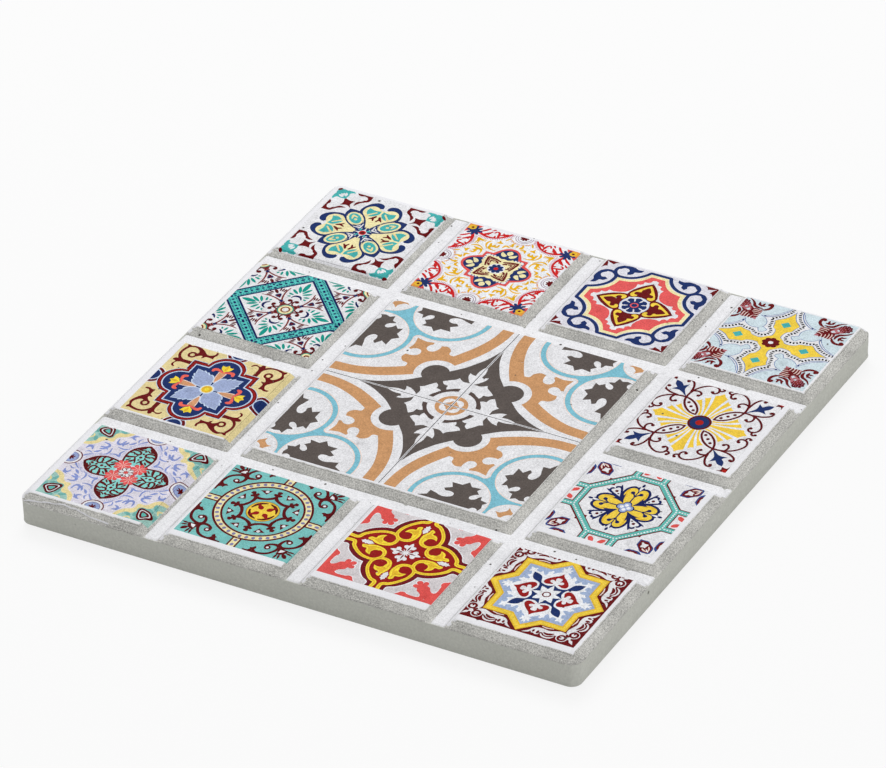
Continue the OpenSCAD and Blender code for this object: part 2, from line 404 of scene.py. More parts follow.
def lace_quatrefoil():
    s = Sheet("frost")
    # yellow lace round the middle figure
    s.eight("marigold", band([(1.5, 15.9), (1.9, 14.8), (1.4, 13.8), (2.5, 14.1)], (.5, .8, .9, .3)),
        band([(2.2, 13), (3.5, 13.2), (4, 12)], (.5, .9, .4)),
        band([(3.9, 17.8), (4.4, 17), (4.9, 16.1)], (.3, .6, .4)), band([(2.2, 16.3), (3.2, 17)], .35),
        band([(5.2, 14), (6.1, 14.1), (6.9, 13.6)], (.5, 1.1, .4)),
        band([(6.1, 14.2), (6.4, 15.2)], (.8, .3)),
        band([(5.6, 12.6), (5.8, 11.4), (7.1, 11.3), (8, 11.2), (8.5, 12.5)], (.5, .9, .9, 1, .5)),
        band([(6.8, 12.3), (7.1, 11.3)], (.4, .8)),
        band([(8.1, 11.1), (8, 10), (7, 9.3), (5.2, 9.2)], (1, .9, .5, .2)),
        band([(9.1, 13.9), (9.8, 12.4), (9.5, 10.8), (8.2, 9.1)], (.3, .7, .45, .15)))
    s.four("marigold", band([(10.7, 13.5), (12.2, 13.3), (13.8, 13.8, 1), (13.3, 12.2), (13.5, 10.7)],
        (.3, .6, .9, .6, .3)))
    s.eight("marigold", band([(10.8, 12.7), (13, 12.9)], (.2, .35)))
    s.four("gold", disc(0, 14.6, .45, .7))
    # red scroll lenses along the edges, with a fringe on the outside
    lens = [(3.9, 20.2), (4.8, 18.4), (6.6, 16.5), (8.9, 15.2), (11.8, 14.6), (14.6, 15)]
    s.eight("petalpink", across(lens, .26, .56, .9))
    s.eight("red", band([(4.7, 20), (6.1, 18), (8.2, 16.2), (10.4, 15.5), (13, 15.8), (15.4, 16.9)],
            (.7, .8, .6, .7, .9, 1.1)),
        band([(5.8, 19.2), (7.1, 18.6), (7.9, 17.9)], (.7, 1, .4)),
        band([(6.9, 18.4), (7.5, 19.4)], (.8, .3)),
        band([(8.3, 16.2), (8.5, 17.8), (8.9, 19), (9.8, 19.4), (10.3, 18.6)], (.5, .9, .7, .5, .6)),
        band([(9.3, 15.8), (9.4, 16.6)], (.4, .7)),
        band([(11.2, 18.5), (12.4, 17), (14, 15.9)], (.5, 1.2, .6)),
        band([(12.4, 17), (11.7, 16.7)], (.8, .3)),
        band([(12.8, 20), (13.8, 18.6), (15.2, 17.3)], (.7, .8, .4)),
        band([(10.9, 20), (11.6, 19.2)], (.7, .3)))
    # corner florets
    s.four("coral", poly((15.4, 20.2), (16.6, 18.6), (18.6, 16.6), (20.2, 15.4), (20.6, 20.6)))
    s.four("orange", disc(18.9, 18.9, 1.7))
    s.four("navy", rose(17.1, 17.1, 8, 1, 2.85, 45, power=.7))
    s.four("gold", disc(18.5, 18.5, 1.25))
    s.four("maroon", disc(18.5, 18.5, .5))
    # half discs in the middle of each edge
    s.four("petalpink", across([(4.3, 20.3), (4.2, 18.4), (3.1, 16.7), (0, 15.7)], .2, .5, .7),
        across([(-4.3, 20.3), (-4.2, 18.4), (-3.1, 16.7), (0, 15.7)], .2, .5, .7))
    s.four("dusk", ring(0, 19.9, 3, .3), ring(0, 19.9, 2.3, .3))
    s.four("maroon", rose(0, 19.9, 8, .9, 1.6, 0, power=.8))

    # middle figure
    def quatrefoil(grow):
        one = [(0, 11.9 + grow), (1.5, 11.6 + grow), (3 + grow*.3, 10.4 + grow),
            (4 + grow*.7, 8.6 + grow), (4.6 + grow*.9, 7.3 + grow, 1), (7.2 + grow, 7.2 + grow, 1)]
        return fill(*turned(doubled(one)[:-1]))

    s.one("white", quatrefoil(1))
    s.one("coral", quatrefoil(.6))
    s.one("navy", quatrefoil(-.3))
    s.eight("cream", fill((0, 11.1, 1), (.9, 10.4), (1, 9.4), (.3, 8.6), (0, 8.5, 1)),
        fill((.5, 8.3), (1.5, 9), (2.7, 9.8, 1), (2.8, 8.8), (2.2, 7.7), (1.4, 7.2), (.6, 7.6)))
    s.one("cream", poly(*turned([(0, 6.1), (1.2, 5.8), (2.2, 6.3), (2.6, 6.8), (3.4, 6.3), (6.2, 6.2),
        (6.3, 3.4), (6.8, 2.6), (6.3, 2.2), (5.8, 1.2)])))
    for k in (3.5, 4.5, 5.5):
        s.eight("white", poly((k, 6.2), (k + .7, 6.2), (k + .7, 6.9), (k, 6.9)))
    s.four("white", disc(6.3, 6.3, .55))
    s.eight("maroon", band([(.6, 4.3), (2.4, 4.9), (5.3, 5.4, 1), (5.3, 5.3)], (.5, .65, .75, .7)))
    s.eight("rust", band([(1.3, 3.8), (2.4, 4.2), (4.5, 4.6, 1), (4.5, 4.5)], (.3, .35, .35, .3)))
    s.eight("maroon", band([(1, 3.1), (1.5, 3.7), (2, 3.4)], (.5, .7, .4)))
    s.four("maroon", band([(2.6, 3.6), (3.8, 3.8, 1), (3.6, 2.6)], (.3, .5, .3)))
    s.one("white", disc(0, 0, 2.9))
    s.one("navy", rose(0, 0, 8, 1.5, 2.6, 0, power=.5))
    s.one("red", disc(0, 0, .8))
    return s


def blossom_cross():
    s = Sheet("mist")
    # blue scrollwork of the ground
    s.eight("wash", band([(5.4, 14.7), (5.9, 14), (6.7, 13.2)], (.5, .9, .4)),
        band([(7.5, 13.9), (8, 12.9), (8.8, 12.6), (9.8, 12), (10.7, 12.6), (11, 14.4)],
            (.5, .8, .9, .9, .6, .3)),
        band([(8.6, 14.2), (8.8, 13), (8.2, 11.7)], (.5, .8, .4)),
        band([(5.2, 12), (5.8, 10.8), (7.2, 10.3), (9.2, 10.6)], (.3, .55, .55, .2)),
        band([(6.4, 9.6), (6.9, 8), (6.4, 6.4, 1), (6.5, 6.4)], (.3, .55, .7, .7)),
        band([(6.1, 18.2), (7.2, 17.8), (7.4, 16.7), (6.2, 16.1)], (.3, .8, .8, .3)),
        band([(7.6, 18), (8.4, 16.4)], (.6, .2)),
        band([(2.4, 16.7), (3.6, 15.5), (4.3, 14.6)], (.6, .4, .2)),
        band([(4.3, 17.4), (5, 16.4), (4.6, 15.2)], (.2, .5, .2)))
    s.eight("lace", across([(1.2, 15.6), (3.4, 14.2), (5, 12.2), (5.7, 10), (5.8, 7.6), (5.6, 5.6)], .3,
            .6, .8),
        band([(2, 15.9), (4.2, 14.2), (5.8, 12.2)], .25))
    # teal leaves and the corner beyond the cream wavy band
    s.four("mint", poly((8.5, 20.4), (11, 17.2), (14.2, 14.2), (17.2, 11), (20.4, 8.5), (20.4, 20.4)))
    s.eight("tealgrey", fill((10.3, 17.7), (11.6, 18.9), (13, 19), (12.6, 17.9), (11.4, 17.4)),
        fill((13.3, 17), (13.6, 18.3), (14.6, 18.6), (14.3, 16.4), (13.9, 14.6), (13.3, 15.4)))
    s.four("tealgrey", fill((13.2, 13.2), (13.4, 15), (15.2, 15.2), (15, 13.4)))
    s.eight("tealgrey", fill((14.4, 20.6, 1), (15, 19), (18, 20.6, 1)))
    s.eight("sand", band([(11.4, 20.4), (12.6, 19.4), (13.6, 19.8)], (.3, .6, .3)))
    wave = doubled([(7.5, 20.6, 1), (8.2, 18.1), (9.7, 16.3), (11.5, 15.3), (12.2, 14.2), (12.1, 12.7)])
    wave += doubled([(20.6, 8.8, 1), (18.9, 9.6), (17.5, 10.9), (17.4, 12.4), (16.2, 13.5),
        (14.4, 13.5)])
    s.four("sand", fill(*wave))
    s.four("wine", fill(*doubled([(14.1, 14.1), (14.2, 16.5), (15.1, 18.7), (16.6, 19.7),
        (18.4, 18.4)])))
    s.four("white", fill(*doubled([(14.8, 14.8), (14.9, 16.5), (15.6, 18.2), (16.6, 18.9),
        (17.9, 17.9)])))
    s.four("wine", fill(*doubled([(15.1, 15.1), (15.2, 16.5), (15.8, 17.9), (16.6, 18.5),
        (17.7, 17.7)])))
    s.four("aquadeep", fill(*doubled([(15.8, 15.8), (15.9, 16.6), (16.3, 17.4), (16.7, 17.7),
        (17.3, 17.3)])))
    # half discs in the middle of the edges
    s.four("maroon", disc(0, 19.9, 3.8, 3.6))
    s.four("white", disc(0, 19.9, 3.4, 3.2))
    s.four("slate", disc(0, 19.9, 2.7, 2.5))
    s.four("peri", disc(0, 19.9, 2.4, 2.2))
    s.four("wine", rose(0, 19.9, 7, .5, 1.4, 90))
    # four leaves on the axes
    s.eight("wine", fill((0, 15.4, 1), (2.2, 14.1), (4, 12.4), (5, 10.2), (5.1, 8), (4.8, 6),
        (4.2, 4, 1), (0, 4, 1)))
    s.eight("wing", fill((0, 14.4, 1), (1.9, 13.1), (3.4, 11.6), (4.3, 9.8), (4.4, 8), (4.1, 6.1),
        (3.5, 4, 1), (0, 4, 1)))
    s.eight("wine", band([(.9, 13.6), (2.1, 12.7), (3.6, 12.3)], (.4, .9, .7)),
        band([(4.3, 11.2), (2.8, 11.6), (1.4, 11.3), (.9, 10.4), (1.5, 9.7), (2.4, 9.9)],
            (.5, .6, .6, .6, .7, .5)),
        band([(2, 8.4), (3.3, 7.8), (4.5, 7.6)], (.5, .9, .9)),
        band([(1.1, 7), (2, 5.9), (3, 5.3)], (.5, .9, .5)), band([(2.7, 6.8), (3.4, 6)], .5),
        band([(.4, 5.6), (1, 6.9), (1.7, 8.3), (1.3, 9.2)], (.3, .6, .4, .3)),
        band([(2.6, 9.6), (3.3, 10.3), (4.3, 9.9)], (.4, .6, .5)),
        band([(.4, 12.9), (1.3, 12.2), (2.3, 12.3)], (.3, .5, .4)))
    for y, r in ((12.2, .5), (10.7, .45), (8.8, .55), (7.4, .4)):
        s.four("wine", disc(0, y, r, count=10))
    # four coral blossoms and the white rosette
    s.four("red", rose(2.9, 2.9, 8, 1.9, 2.9, 45, power=.7))
    s.four("blossom", rose(2.9, 2.9, 8, 1.6, 2.7, 45, power=.7))
    for k in range(8):
        s.four("blush", petal(2.9, 2.9, 22.5 + 45*k, 2.6, .2))
    s.one("wine", rose(0, 0, 8, 1.7, 2.6, 0, power=.6))
    s.lay(8, "white", petal(0, .6, 90, 2, 1, .7))
    s.one("coral", disc(0, 0, .7))
    return s


def banded_wheel():
    s = Sheet("aqua")
    # corner scrolls
    s.eight("wine", band([(4.3, 19.9), (7.6, 19.9), (10.4, 19.6), (12.3, 18.7), (13.6, 17),
            (14.2, 15.4), (14, 14.1), (12.8, 13.6), (11.3, 13.9), (10.1, 14.8), (10, 15.9)],
            (.5, .9, .9, .9, .9, 1.1, 1.3, 1.1, .9, .8, .7)),
        disc(10.8, 15.9, 1.1))
    s.eight("frost", disc(10.85, 15.9, .5))
    s.eight("wine", fill((5.2, 20, 1), (6.2, 18.7), (5.8, 18.1, 1), (6.6, 17.8), (7.3, 16.8, 1),
        (7.9, 17.6), (7.8, 18.6), (8.8, 19.4), (9.8, 20, 1)))
    s.four("wine", fill(*doubled([(13, 13, 1), (13.4, 14.6), (14.5, 15.8), (14.9, 18, 1),
        (16.5, 17.5)])))
    s.four("frost", fill((15.2, 16.9, 1), (15.3, 15.3, 1), (16.9, 15.2, 1), (16.3, 16.3)))
    s.eight("wine", petal(15.4, 17.4, 96, 2.9, .8), petal(16, 17.2, 78, 3, .8))
    s.four("wine", disc(17.9, 17.9, 1.3, .75, 45))
    # bars on the axes
    s.four("wine", poly((-1.65, 15), (1.65, 15), (1.65, 20.5), (-1.65, 20.5)))
    s.four("cream", poly((-1.05, 14), (1.05, 14), (1.05, 20.5), (-1.05, 20.5)))
    for y in (16.9, 19.3):
        s.four("slate", disc(0, y, .62, .75))
    # the wheel's rim
    s.one("wine", disc(0, 0, 15.95, count=96))
    s.one("cream", disc(0, 0, 15.2, count=96))
    s.lay(40, "slate", disc(0, 14.35, .62, .72, count=10))
    s.one("wine", disc(0, 0, 13.35, count=96))
    s.one("aqua", disc(0, 0, 12.65, count=96))
    # eight arches with knobs
    arch = band([(0, 8.4), (-.6, 7.4), (-1.7, 6.5), (-3.2, 5.95), (-4.5, 5.75), (-5.7, 5.8)],
        (.9, 1.1, .9, .95, .95, 1.2))
    s.lay(8, "wine", arch, moved(arch, flip=True))
    knob = [(.6, 7.6), (.5, 8.6), (1.5, 9.2), (1.2, 10), (.5, 10), (.9, 11), (0, 11.6)]
    s.lay(8, "wine", fill(*knob, *[(-x, y) for x, y in knob[-2::-1]]))
    s.eight("wine", poly((-2.6, 11), (-6.3, 9.7), (-3.6, 8.3)))
    s.eight("white", disc(-4, 9.8, .62, count=10))
    # yellow cross in the hub
    s.one("brown", disc(0, 0, 5.45, count=48))
    s.one("gold", disc(0, 0, 5.25, count=48))
    s.one("yellow", disc(0, 0, 4.9, count=40))
    s.four("wine", band([(.6, 4.3), (2.3, 3.6), (3.6, 2.3), (4.3, .6)], (.4, .9, .9, .4)))
    s.four("maroonred", fill(*doubled([(.6, 1.2), (.9, 2.2), (1.9, 2.7), (2.9, 3.3)])))
    return s


def gold_quatrefoil():
    s = Sheet("dove", 20.9)
    corner = [(20.8, 7.4, 1), (19.8, 8.2), (18.8, 8.9), (18.6, 10.1), (19.1, 11, 1), (19.3, 12.8),
        (19.2, 14.6), (18.5, 15.3), (17.2, 14.6), (16.2, 13.1), (15, 12.6, 1), (15, 11.6), (14.3, 11.4),
        (13.3, 11.9), (12.6, 12)]
    shape = fill((20.8, 20.8, 1), *doubled(corner))
    s.four("frost", moved(shape, -.2, -.2))
    s.eight("frost", disc(13.9, 11.4, 1))
    s.four("frost", disc(11.9, 11.9, 1.2))
    s.four("coral", shape)
    s.eight("coral", disc(14.1, 11.6, .9))
    s.four("coral", disc(12.1, 12.1, 1.05))
    outer = [(0, 20.8, 1), (3.4, 20.8, 1), (3.5, 18.8), (5.9, 17.3), (8.1, 14.8), (9.4, 12.2),
        (9.9, 9.9, 1)]
    grown = [(x + .35*(k > 0), y + .15*(k > 1), *w) for k, (x, y, *w) in enumerate(outer)]
    s.eight("frost", fill(*grown, (0, 0, 1)))
    s.eight("plum", fill(*outer, (0, 0, 1)))
    s.eight("maroonred", fill((0, 20.8, 1), (1.3, 20.8, 1), (1.4, 17.8), (4, 16.4), (6.6, 13.4),
        (7.7, 10.2), (7.5, 7.5, 1), (0, 0, 1)))
    line = [(1.3, 20.8), (1.3, 17.9), (3.3, 16.9), (5.4, 14.8), (7, 12.2), (7.6, 9.8), (7.4, 7.7),
        (5.8, 6), (3.9, 5.7), (2.2, 6.5), (1.4, 8.4), (1.4, 10.4), (2, 12)]
    s.eight("sunny", band(line, (1.3, 1.3, 1.2, 1.05, 1.05, 1.05, 1.05, 1.05, 1.1, 1.3, 1.6, 1.9, 2)),
        fill((.6, 10.2), (1.4, 12.9), (1.6, 14.4), (2.2, 14.6), (3.1, 13.8), (3.1, 12.5), (4.3, 12.2),
            (5.2, 11.4), (5.8, 9.9, 1), (4.3, 10.3), (2.9, 9.7), (2.2, 8)))
    s.eight("gold", band(line, .35),
        fill((1.5, 10.5), (2, 12.6), (2.3, 13.8), (2.6, 12.2), (3.9, 11.6), (4.9, 10.6), (3.6, 10.7),
            (2.2, 9.6)))
    s.eight("white", fill((0, 16.2, 1), (.4, 15.5), (.9, 15.2), (.7, 14.6), (1.1, 14.1), (.8, 13.5),
            (1, 12.9), (.6, 12.3), (0, 11.4, 1)),
        fill((.4, .4, 1), (.7, 1.9), (1.7, 2.4), (2.1, 3.2), (1.6, 3.9), (.8, 3.9), (.5, 4.7),
            (0, 5.5, 1), (0, 0, 1)))
    s.four("maroon", petal(0, .8, 90, 2.9, .55))
    s.four("white", petal(.3, .3, 45, 1.6, .4))
    return s


def hearts_star():
    s = Sheet("maroon")
    # white scrolls on the maroon border
    s.eight("white", fill((1.9, 19.7, 1), (4, 19), (4.5, 18.3), (4.9, 18.9), (5.6, 18.8), (6.2, 19.2),
        (7.2, 18.9), (7.3, 17.7), (8.2, 17.6), (8.9, 18.3), (9.9, 18.5), (11, 18.1), (11.9, 17.4),
        (12.8, 17.1), (14, 15.9), (15.5, 15.5, 1), (14.6, 14.9), (13.1, 14.7), (11.4, 15.3),
        (9.6, 15.9), (7.6, 15.7), (5.6, 15.9), (4.3, 16.9), (3.7, 18.1)))
    s.eight("maroon", disc(5.2, 17.8, .42, .7), disc(6.7, 17.9, .48, .85),
        band([(8.6, 17.4), (9.7, 17.7), (10.8, 17.4), (11.6, 16.8)], (.4, .95, .95, .4)))
    s.eight("white", band([(7.9, 18.3), (8.7, 19.1), (10, 19.4), (11.4, 19), (12.2, 18)],
            (.3, .5, .5, .5, .2)),
        disc(14.7, 17.5, 1.9))
    s.eight("maroon", ring(14.7, 17.5, 1.2, .8), band([(13.6, 17.6), (14.4, 17.5)], .5),
        band([(15.4, 15.6), (16.2, 16.4)], .45))
    s.four("white", fill((16.2, 17.4), (17.3, 17.6), (17.6, 18.4), (19.2, 19.2, 1), (18.4, 17.6),
        (17.6, 17.3), (17.4, 16.2), (16.4, 16.4)))
    s.eight("blush", band([(6.7, 14.8), (8.4, 15), (10.4, 14.6)], (.2, .4, .2)))
    # yellow eight-pointed frame with a lilac-blue field
    for ink, a, b, c in (("gold", 19.8, 14.3, 5.8), ("yellow", 19.2, 13.8, 5.6),
            ("gold", 17.4, 12.6, 5), ("hyacinth", 16.7, 12.1, 4.8)):
        s.one(ink, poly(*turned([(0, a), (c, b), (b, b), (b, c)])))
    # white leaves, hearts and the navy cross
    s.eight("frost", fill((0, 14.9, 1), (.5, 15.4), (.6, 14.2), (1.6, 14.3), (1.3, 13.2), (1.7, 12.7),
        (.9, 12.4), (2.2, 11.3), (3.3, 10.3), (3.3, 11.2), (3.9, 11.6), (4.3, 11), (4.9, 10.6),
        (4.7, 9.7), (5.2, 8.7), (5.9, 9.2), (6.7, 10.2), (7.2, 9.4), (8.7, 9.8), (8.7, 10.8),
        (9.6, 10.5), (10.9, 11, 1), (10, 10, 1), (0, 0, 1), (0, 12, 1)))
    s.eight("hyacinth", band([(5.5, 9.9), (5.2, 9.3)], .5))
    s.eight("maroonred", fill((0, 11.5, 1), (.8, 10.2), (2.2, 9), (3.5, 7.6), (4.1, 6.3), (3.8, 5.3),
        (2.7, 4.9), (1.2, 5.4), (0, 5.6, 1)))
    s.eight("white", fill((0, 9, 1), (.8, 8.8), (1, 7.9), (.7, 7.3), (1.7, 7.5), (2.3, 6.9), (1.9, 6.2),
        (1.1, 6), (.7, 5.1, 1), (0, 4.9, 1)))
    s.eight("navy", fill((0, 5.2, 1), (1.6, 4.3), (3, 4.3), (4.4, 4.9), (4.9, 6), (5.6, 7.6), (7, 8.5),
        (8.9, 8.9, 1), (4, 4, 1), (1.9, 1.9, 1), (.8, 2.9)))
    s.four("frost", fill((3.3, 3.3, 1), (2, 3), (.8, 2.2), (2.2, .8), (3, 2)), disc(0, 2.2, .8, 2.2))
    s.one("frost", disc(0, 0, 2.2))
    s.one("maroon", ring(0, 0, 1.2, .45))
    return s


def octagon_hearts():
    s = Sheet("white")
    # banded octagon with white beads
    for grow, ink in ((.4, "maroon"), (0, "aquadeep")):
        s.four(ink, poly((-6.1 - grow, 20.8), (-6.1 - grow, 16.2), (-4.3, 14.9 - grow),
                (4.3, 14.9 - grow), (6.1 + grow, 16.2), (6.1 + grow, 20.8)),
            poly((4.3, 15 - grow), (15 - grow, 4.3), (16.4 + grow, 6 + grow), (6 + grow, 16.4 + grow)),
            poly((4, 15 - grow), (6.1 + grow, 17), (6.1 + grow, 16.2)))
        s.eight(ink, poly((3.6, 15.2 - grow), (4.8, 15 - grow), (6.1 + grow, 16.3), (4.8, 17.2)))
    s.four("maroon", poly((-4, 17), (4, 17), (4, 20.8), (-4, 20.8)))
    s.four("white", poly((-3.6, 17.4), (3.6, 17.4), (3.6, 20.8), (-3.6, 20.8)))
    s.four("frost", across([(-4.5, 16.1), (4.6, 16.1)], .62, 1, .56))
    s.eight("frost", across([(5.05, 17.1), (5.05, 20.8)], .62, 1, .56))
    s.four("frost", across([(5.5, 15.8), (15.8, 5.5)], .62, 1.03, .6, .1))
    s.four("maroon", poly((10.9, 12), (12.1, 12), (12.1, 10.8), (11.6, 10.8), (10.9, 11.5)),
        poly((8.9, 10), (8.9, 8.9), (10, 8.9), (10, 9.3), (9.3, 10)))
    s.eight("coral", fill((.6, 20.9, 1), (2.2, 20.4), (3.1, 19), (2.9, 18.1), (1.7, 18.3), (.9, 19.4)))

    # leaves in the corners
    def leaf(grow):
        half = [(12.8 + grow, 12.8 + grow, 1), (12.8 + grow, 15.8, 1), (14.3, 17.4 - grow*.6),
            (15.6, 18.8 - grow), (18.4 - grow, 19 - grow, 1)]
        return fill(*doubled(half))

    s.four("delft", leaf(0))
    s.four("maroon", leaf(.45))
    s.four("white", fill((14, 14.3), (14.5, 15.2), (14.5, 16.5), (15.6, 16.3), (16.5, 16.2, 1),
        (16.3, 15.6), (16.5, 14.5), (15.2, 14.5), (14.3, 14)))
    s.eight("blush", band([(15.5, 17.1), (16.4, 17.7), (17.5, 18)], (.3, .5, .2)))
    s.four("white", petal(16.7, 16.7, 45, 2.4, .5))
    s.eight("delft", fill((9.9, 20.9, 1), (11.8, 18.9, 1), (15.2, 18.9), (16.6, 19.9), (17, 20.9, 1)))
    s.eight("maroon", fill((10.8, 20.9, 1), (12, 19.4, 1), (14.9, 19.4), (16, 20.9, 1)))
    s.eight("blush", disc(13.6, 20.4, 1, .4))
    # flower in the middle
    s.eight("navydeep", fill((0, 9.3, 1), (.4, 10.6), (.6, 11.7), (1.2, 11.3), (2.2, 11.5), (3.5, 10.8),
        (4.5, 9.3), (4.8, 7.6), (4.6, 6.2), (4, 4.9), (2.2, 1.4), (0, 1, 1)))
    s.eight("yellow", fill((.3, 9.2), (.9, 10.2), (2, 10.5), (3.2, 9.8), (3.8, 8.3), (3.9, 6.6),
        (3.3, 5), (2.6, 3.6), (1.5, 1.5), (.3, 1.4, 1), (.2, 7, 1)))
    s.eight("navydeep", band([(.2, 6.3), (.6, 7.1), (1.3, 7.8)], (.3, .4, .8)), disc(1.5, 8, .75))
    s.eight("gold", band([(3.2, 9.2), (3.4, 7.4), (2.8, 5.2)], .5))
    s.four("navydeep", fill(*doubled([(1.6, 1.6, 1), (2.5, 3.6), (3.2, 6.6, 1), (3.9, 4.9)])))
    s.eight("navydeep", band([(4, 4.4), (4.9, 6.6), (5.6, 8.1), (6.2, 8.9), (7.4, 8.9), (7.7, 8.1)],
            (.7, .7, .7, .8, .7, .4)),
        band([(6.1, 8.9), (6.5, 10.1)], (.9, .3)), disc(7.6, 8.6, .5), disc(0, 12.6, .5, .9))
    s.four("wine", disc(6.65, 6.65, .6))
    s.four("brown", disc(5.6, 5.6, .4))
    s.four("navydeep", disc(0, 1.7, 1.5))
    s.four("peri", disc(0, 1.5, 1.25))
    s.one("peri", disc(0, 0, 1.6))
    s.four("frost", disc(0, 1.2, .7))
    return s


def sunburst():
    s = Sheet("white")
    s.eight("sun", fill((0, 17.1, 1), (1, 15.8), (2.4, 14.8, 1), (1.7, 11.6), (1, 8), (.6, 3.6, 1),
            (0, 3.6, 1)),
        fill((3, 13.8, 1), (3.9, 12.9), (5, 12.5, 1), (3.4, 9.4), (2.1, 6.2), (1.45, 3.6, 1),
            (1, 3.6, 1), (1.4, 6.8), (2.1, 10.3)),
        fill((5.3, 11.6, 1), (5.8, 10.9), (6.9, 10.3, 1), (5, 8.8), (3.6, 7), (2.9, 3.3, 1),
            (1.75, 3.6, 1), (2.5, 6), (3.9, 9)))
    s.eight("ice", band([(.75, 3.9), (1.3, 8), (2.05, 11.9), (2.8, 14.8)], (.35, .55, .8, 1)),
        band([(1.55, 3.8), (2.3, 6.5), (3.65, 9.7), (5.2, 12.4)], (.35, .45, .65, .8)))
    s.four("white", fill(*doubled([(2.6, 2.6, 1), (3, 5.6), (4.3, 7.6), (6.4, 9.6), (8.6, 10.8),
        (10.8, 10.8, 1)])))
    stem = [(3.35, 3.35, 1), (3.7, 5.3), (4.7, 7), (6.2, 8.6), (8.2, 9.9), (10.4, 10.5), (12.6, 10.5),
        (15, 9.9), (17, 8.8), (18.6, 7), (19.4, 5), (18.9, 3.1), (17.6, 2.3), (16.2, 2.7), (15.8, 3.7),
        (16.3, 4.2)]
    s.eight("wine", band(stem, (.6, .65, .7, .7, .7, .65, .65, .7, .7, .7)),
        band([(13.6, 10.5), (16.4, 10.9), (18.6, 12), (19.4, 13.1), (19.2, 14.2), (18.4, 14)], .7),
        band([(14.4, 10.1), (14.9, 8.7), (14.6, 7.4), (13.6, 6.8), (12.9, 7.3)], .7),
        band([(17.8, 2.5), (17.9, 1.5), (18.6, .9), (19.3, 1.3)], .7))
    for x, y, r in ((16.3, 4.1, .65), (18.5, 13.9, .65), (12.8, 7.4, .65), (19.3, 1.4, .6)):
        s.eight("wine", disc(x, y, r))
    for x in (5.05, 6.7, 8.35):
        s.four("wine", disc(x, x, .6))
    s.four("navy", fill(*doubled([(17.7, 17.7, 1), (15.7, 17.2), (14.3, 15.8, 1), (13.6, 16.3),
        (12.7, 17.1, 1), (13, 15.3), (12.9, 14.1), (12.1, 12.7), (10.9, 11.1, 1)])))
    s.four("wine", fill((16.7, 20.8, 1), (17, 20.2, 1), (18.1, 19.6), (17.9, 17.9, 1), (19.6, 18.1),
        (20.2, 17, 1), (20.8, 16.7, 1), (20.8, 20.8, 1)))
    s.four("brick", disc(19.6, 19.6, .9))
    s.one("wine", disc(0, 0, 3.95))
    s.one("navy", disc(0, 0, 3.2))
    s.one("brick", disc(0, 0, 1.35))
    return s


def palmette_diamond():
    s = Sheet("white")
    # the same rosette stands in the middle and, turned about, at each corner
    part = []

    def put(ink, shape, twin=True):
        for k in range(4):
            part.append((ink, moved(shape, turn=90*k)))
            if twin:
                part.append((ink, moved(shape, turn=90*k, flip=True)))

    put("jade", petal(0, 10.9, 90, 5.6, 1.7, .6), False)
    for x, y, turn, long, wide in ((.4, 10.1, 62, 4, 1.15), (.8, 9.4, 33, 3.4, 1.05),
            (1.8, 8.4, 14, 2.2, .85), (2.3, 7.5, -20, 1.3, .7)):
        put("jade", petal(x, y, turn, long, wide, .6))
    put("navydeep", band([(0, 8.3), (1, 8), (1.8, 6.9)], (.9, .7, .3)))
    put("wine", disc(1.35, 5.2, .75, count=12))
    put("wine", band([(1, 5.6), (.4, 4.9), (.4, 3.6), (1.2, 2.7), (2.8, 2.5), (3.9, 2.8)],
        (.5, .55, .5, .5, .5, .3)))
    put("rust", band([(4.65, 11.4), (4.95, 9), (4.6, 6.4), (3.8, 4.1), (3, 2.2), (2.7, 0)],
        (.25, .45, .5, .5, .5, .4)))
    put("navydeep", star(3.8, 3.8, 6, .5, 1, 45), False)
    put("navydeep", fill((5.1, 5.1, 1), (5.4, 6.7), (6, 7.4), (6.8, 6.8), (7.4, 6), (6.7, 5.4)), False)
    put("wine", disc(6.1, 6.1, .6, count=10), False)
    put("wine", petal(7, 7, 45, 2.7, 1.15, .6), False)
    for x, turn in ((5.75, 101), (6.4, 93), (7.05, 83)):
        put("wine", petal(x, 8.4, turn, 2, .62, .5))
    for x, y, turn in ((0, 0, 0), (20.5, 20.5, 180), (-20.5, 20.5, 180), (-20.5, -20.5, 180),
            (20.5, -20.5, 180)):
        for ink, shape in part:
            s.one(ink, moved(shape, x, y, turn))
        s.one("rust", disc(x, y, 3.1))
        s.one("jade", disc(x, y, 2.8))
        s.one("cream", disc(x, y, 2.4))
        s.one("rust", ring(x, y, 1.4, .5))
        s.one("white", disc(x, y, 1))
    s.four("navydeep", poly((0, 23.8), (23.8, 0), (17.4, 0), (0, 17.4)))
    s.four("aquabright", poly((0, 22.8), (22.8, 0), (18.4, 0), (0, 18.4)))
    for a in (22.2, 19):
        s.four("navydeep", across([(0, a), (a, 0)], .4, .85, .4, .3))
    for k in range(15):
        x = .7 + 1.36*k
        if k == 7:
            continue
        wide = .55 if k % 2 else .85
        s.four("navydeep", disc(x + .15, 20.4 - x, wide*.85, .48, -45, 8))
        s.four("tealdeep", disc(x + .8, 21.1 - x, .45, .25, 0, 6),
            disc(x - .6, 19.6 - x, .45, .25, 90, 6))
    for x, y in ((.75, .6), (-.7, .75), (.7, -.65), (-.7, -.7)):
        s.four("navydeep", disc(10.25 + x, 10.25 + y, .48, .4, count=8))
    return s


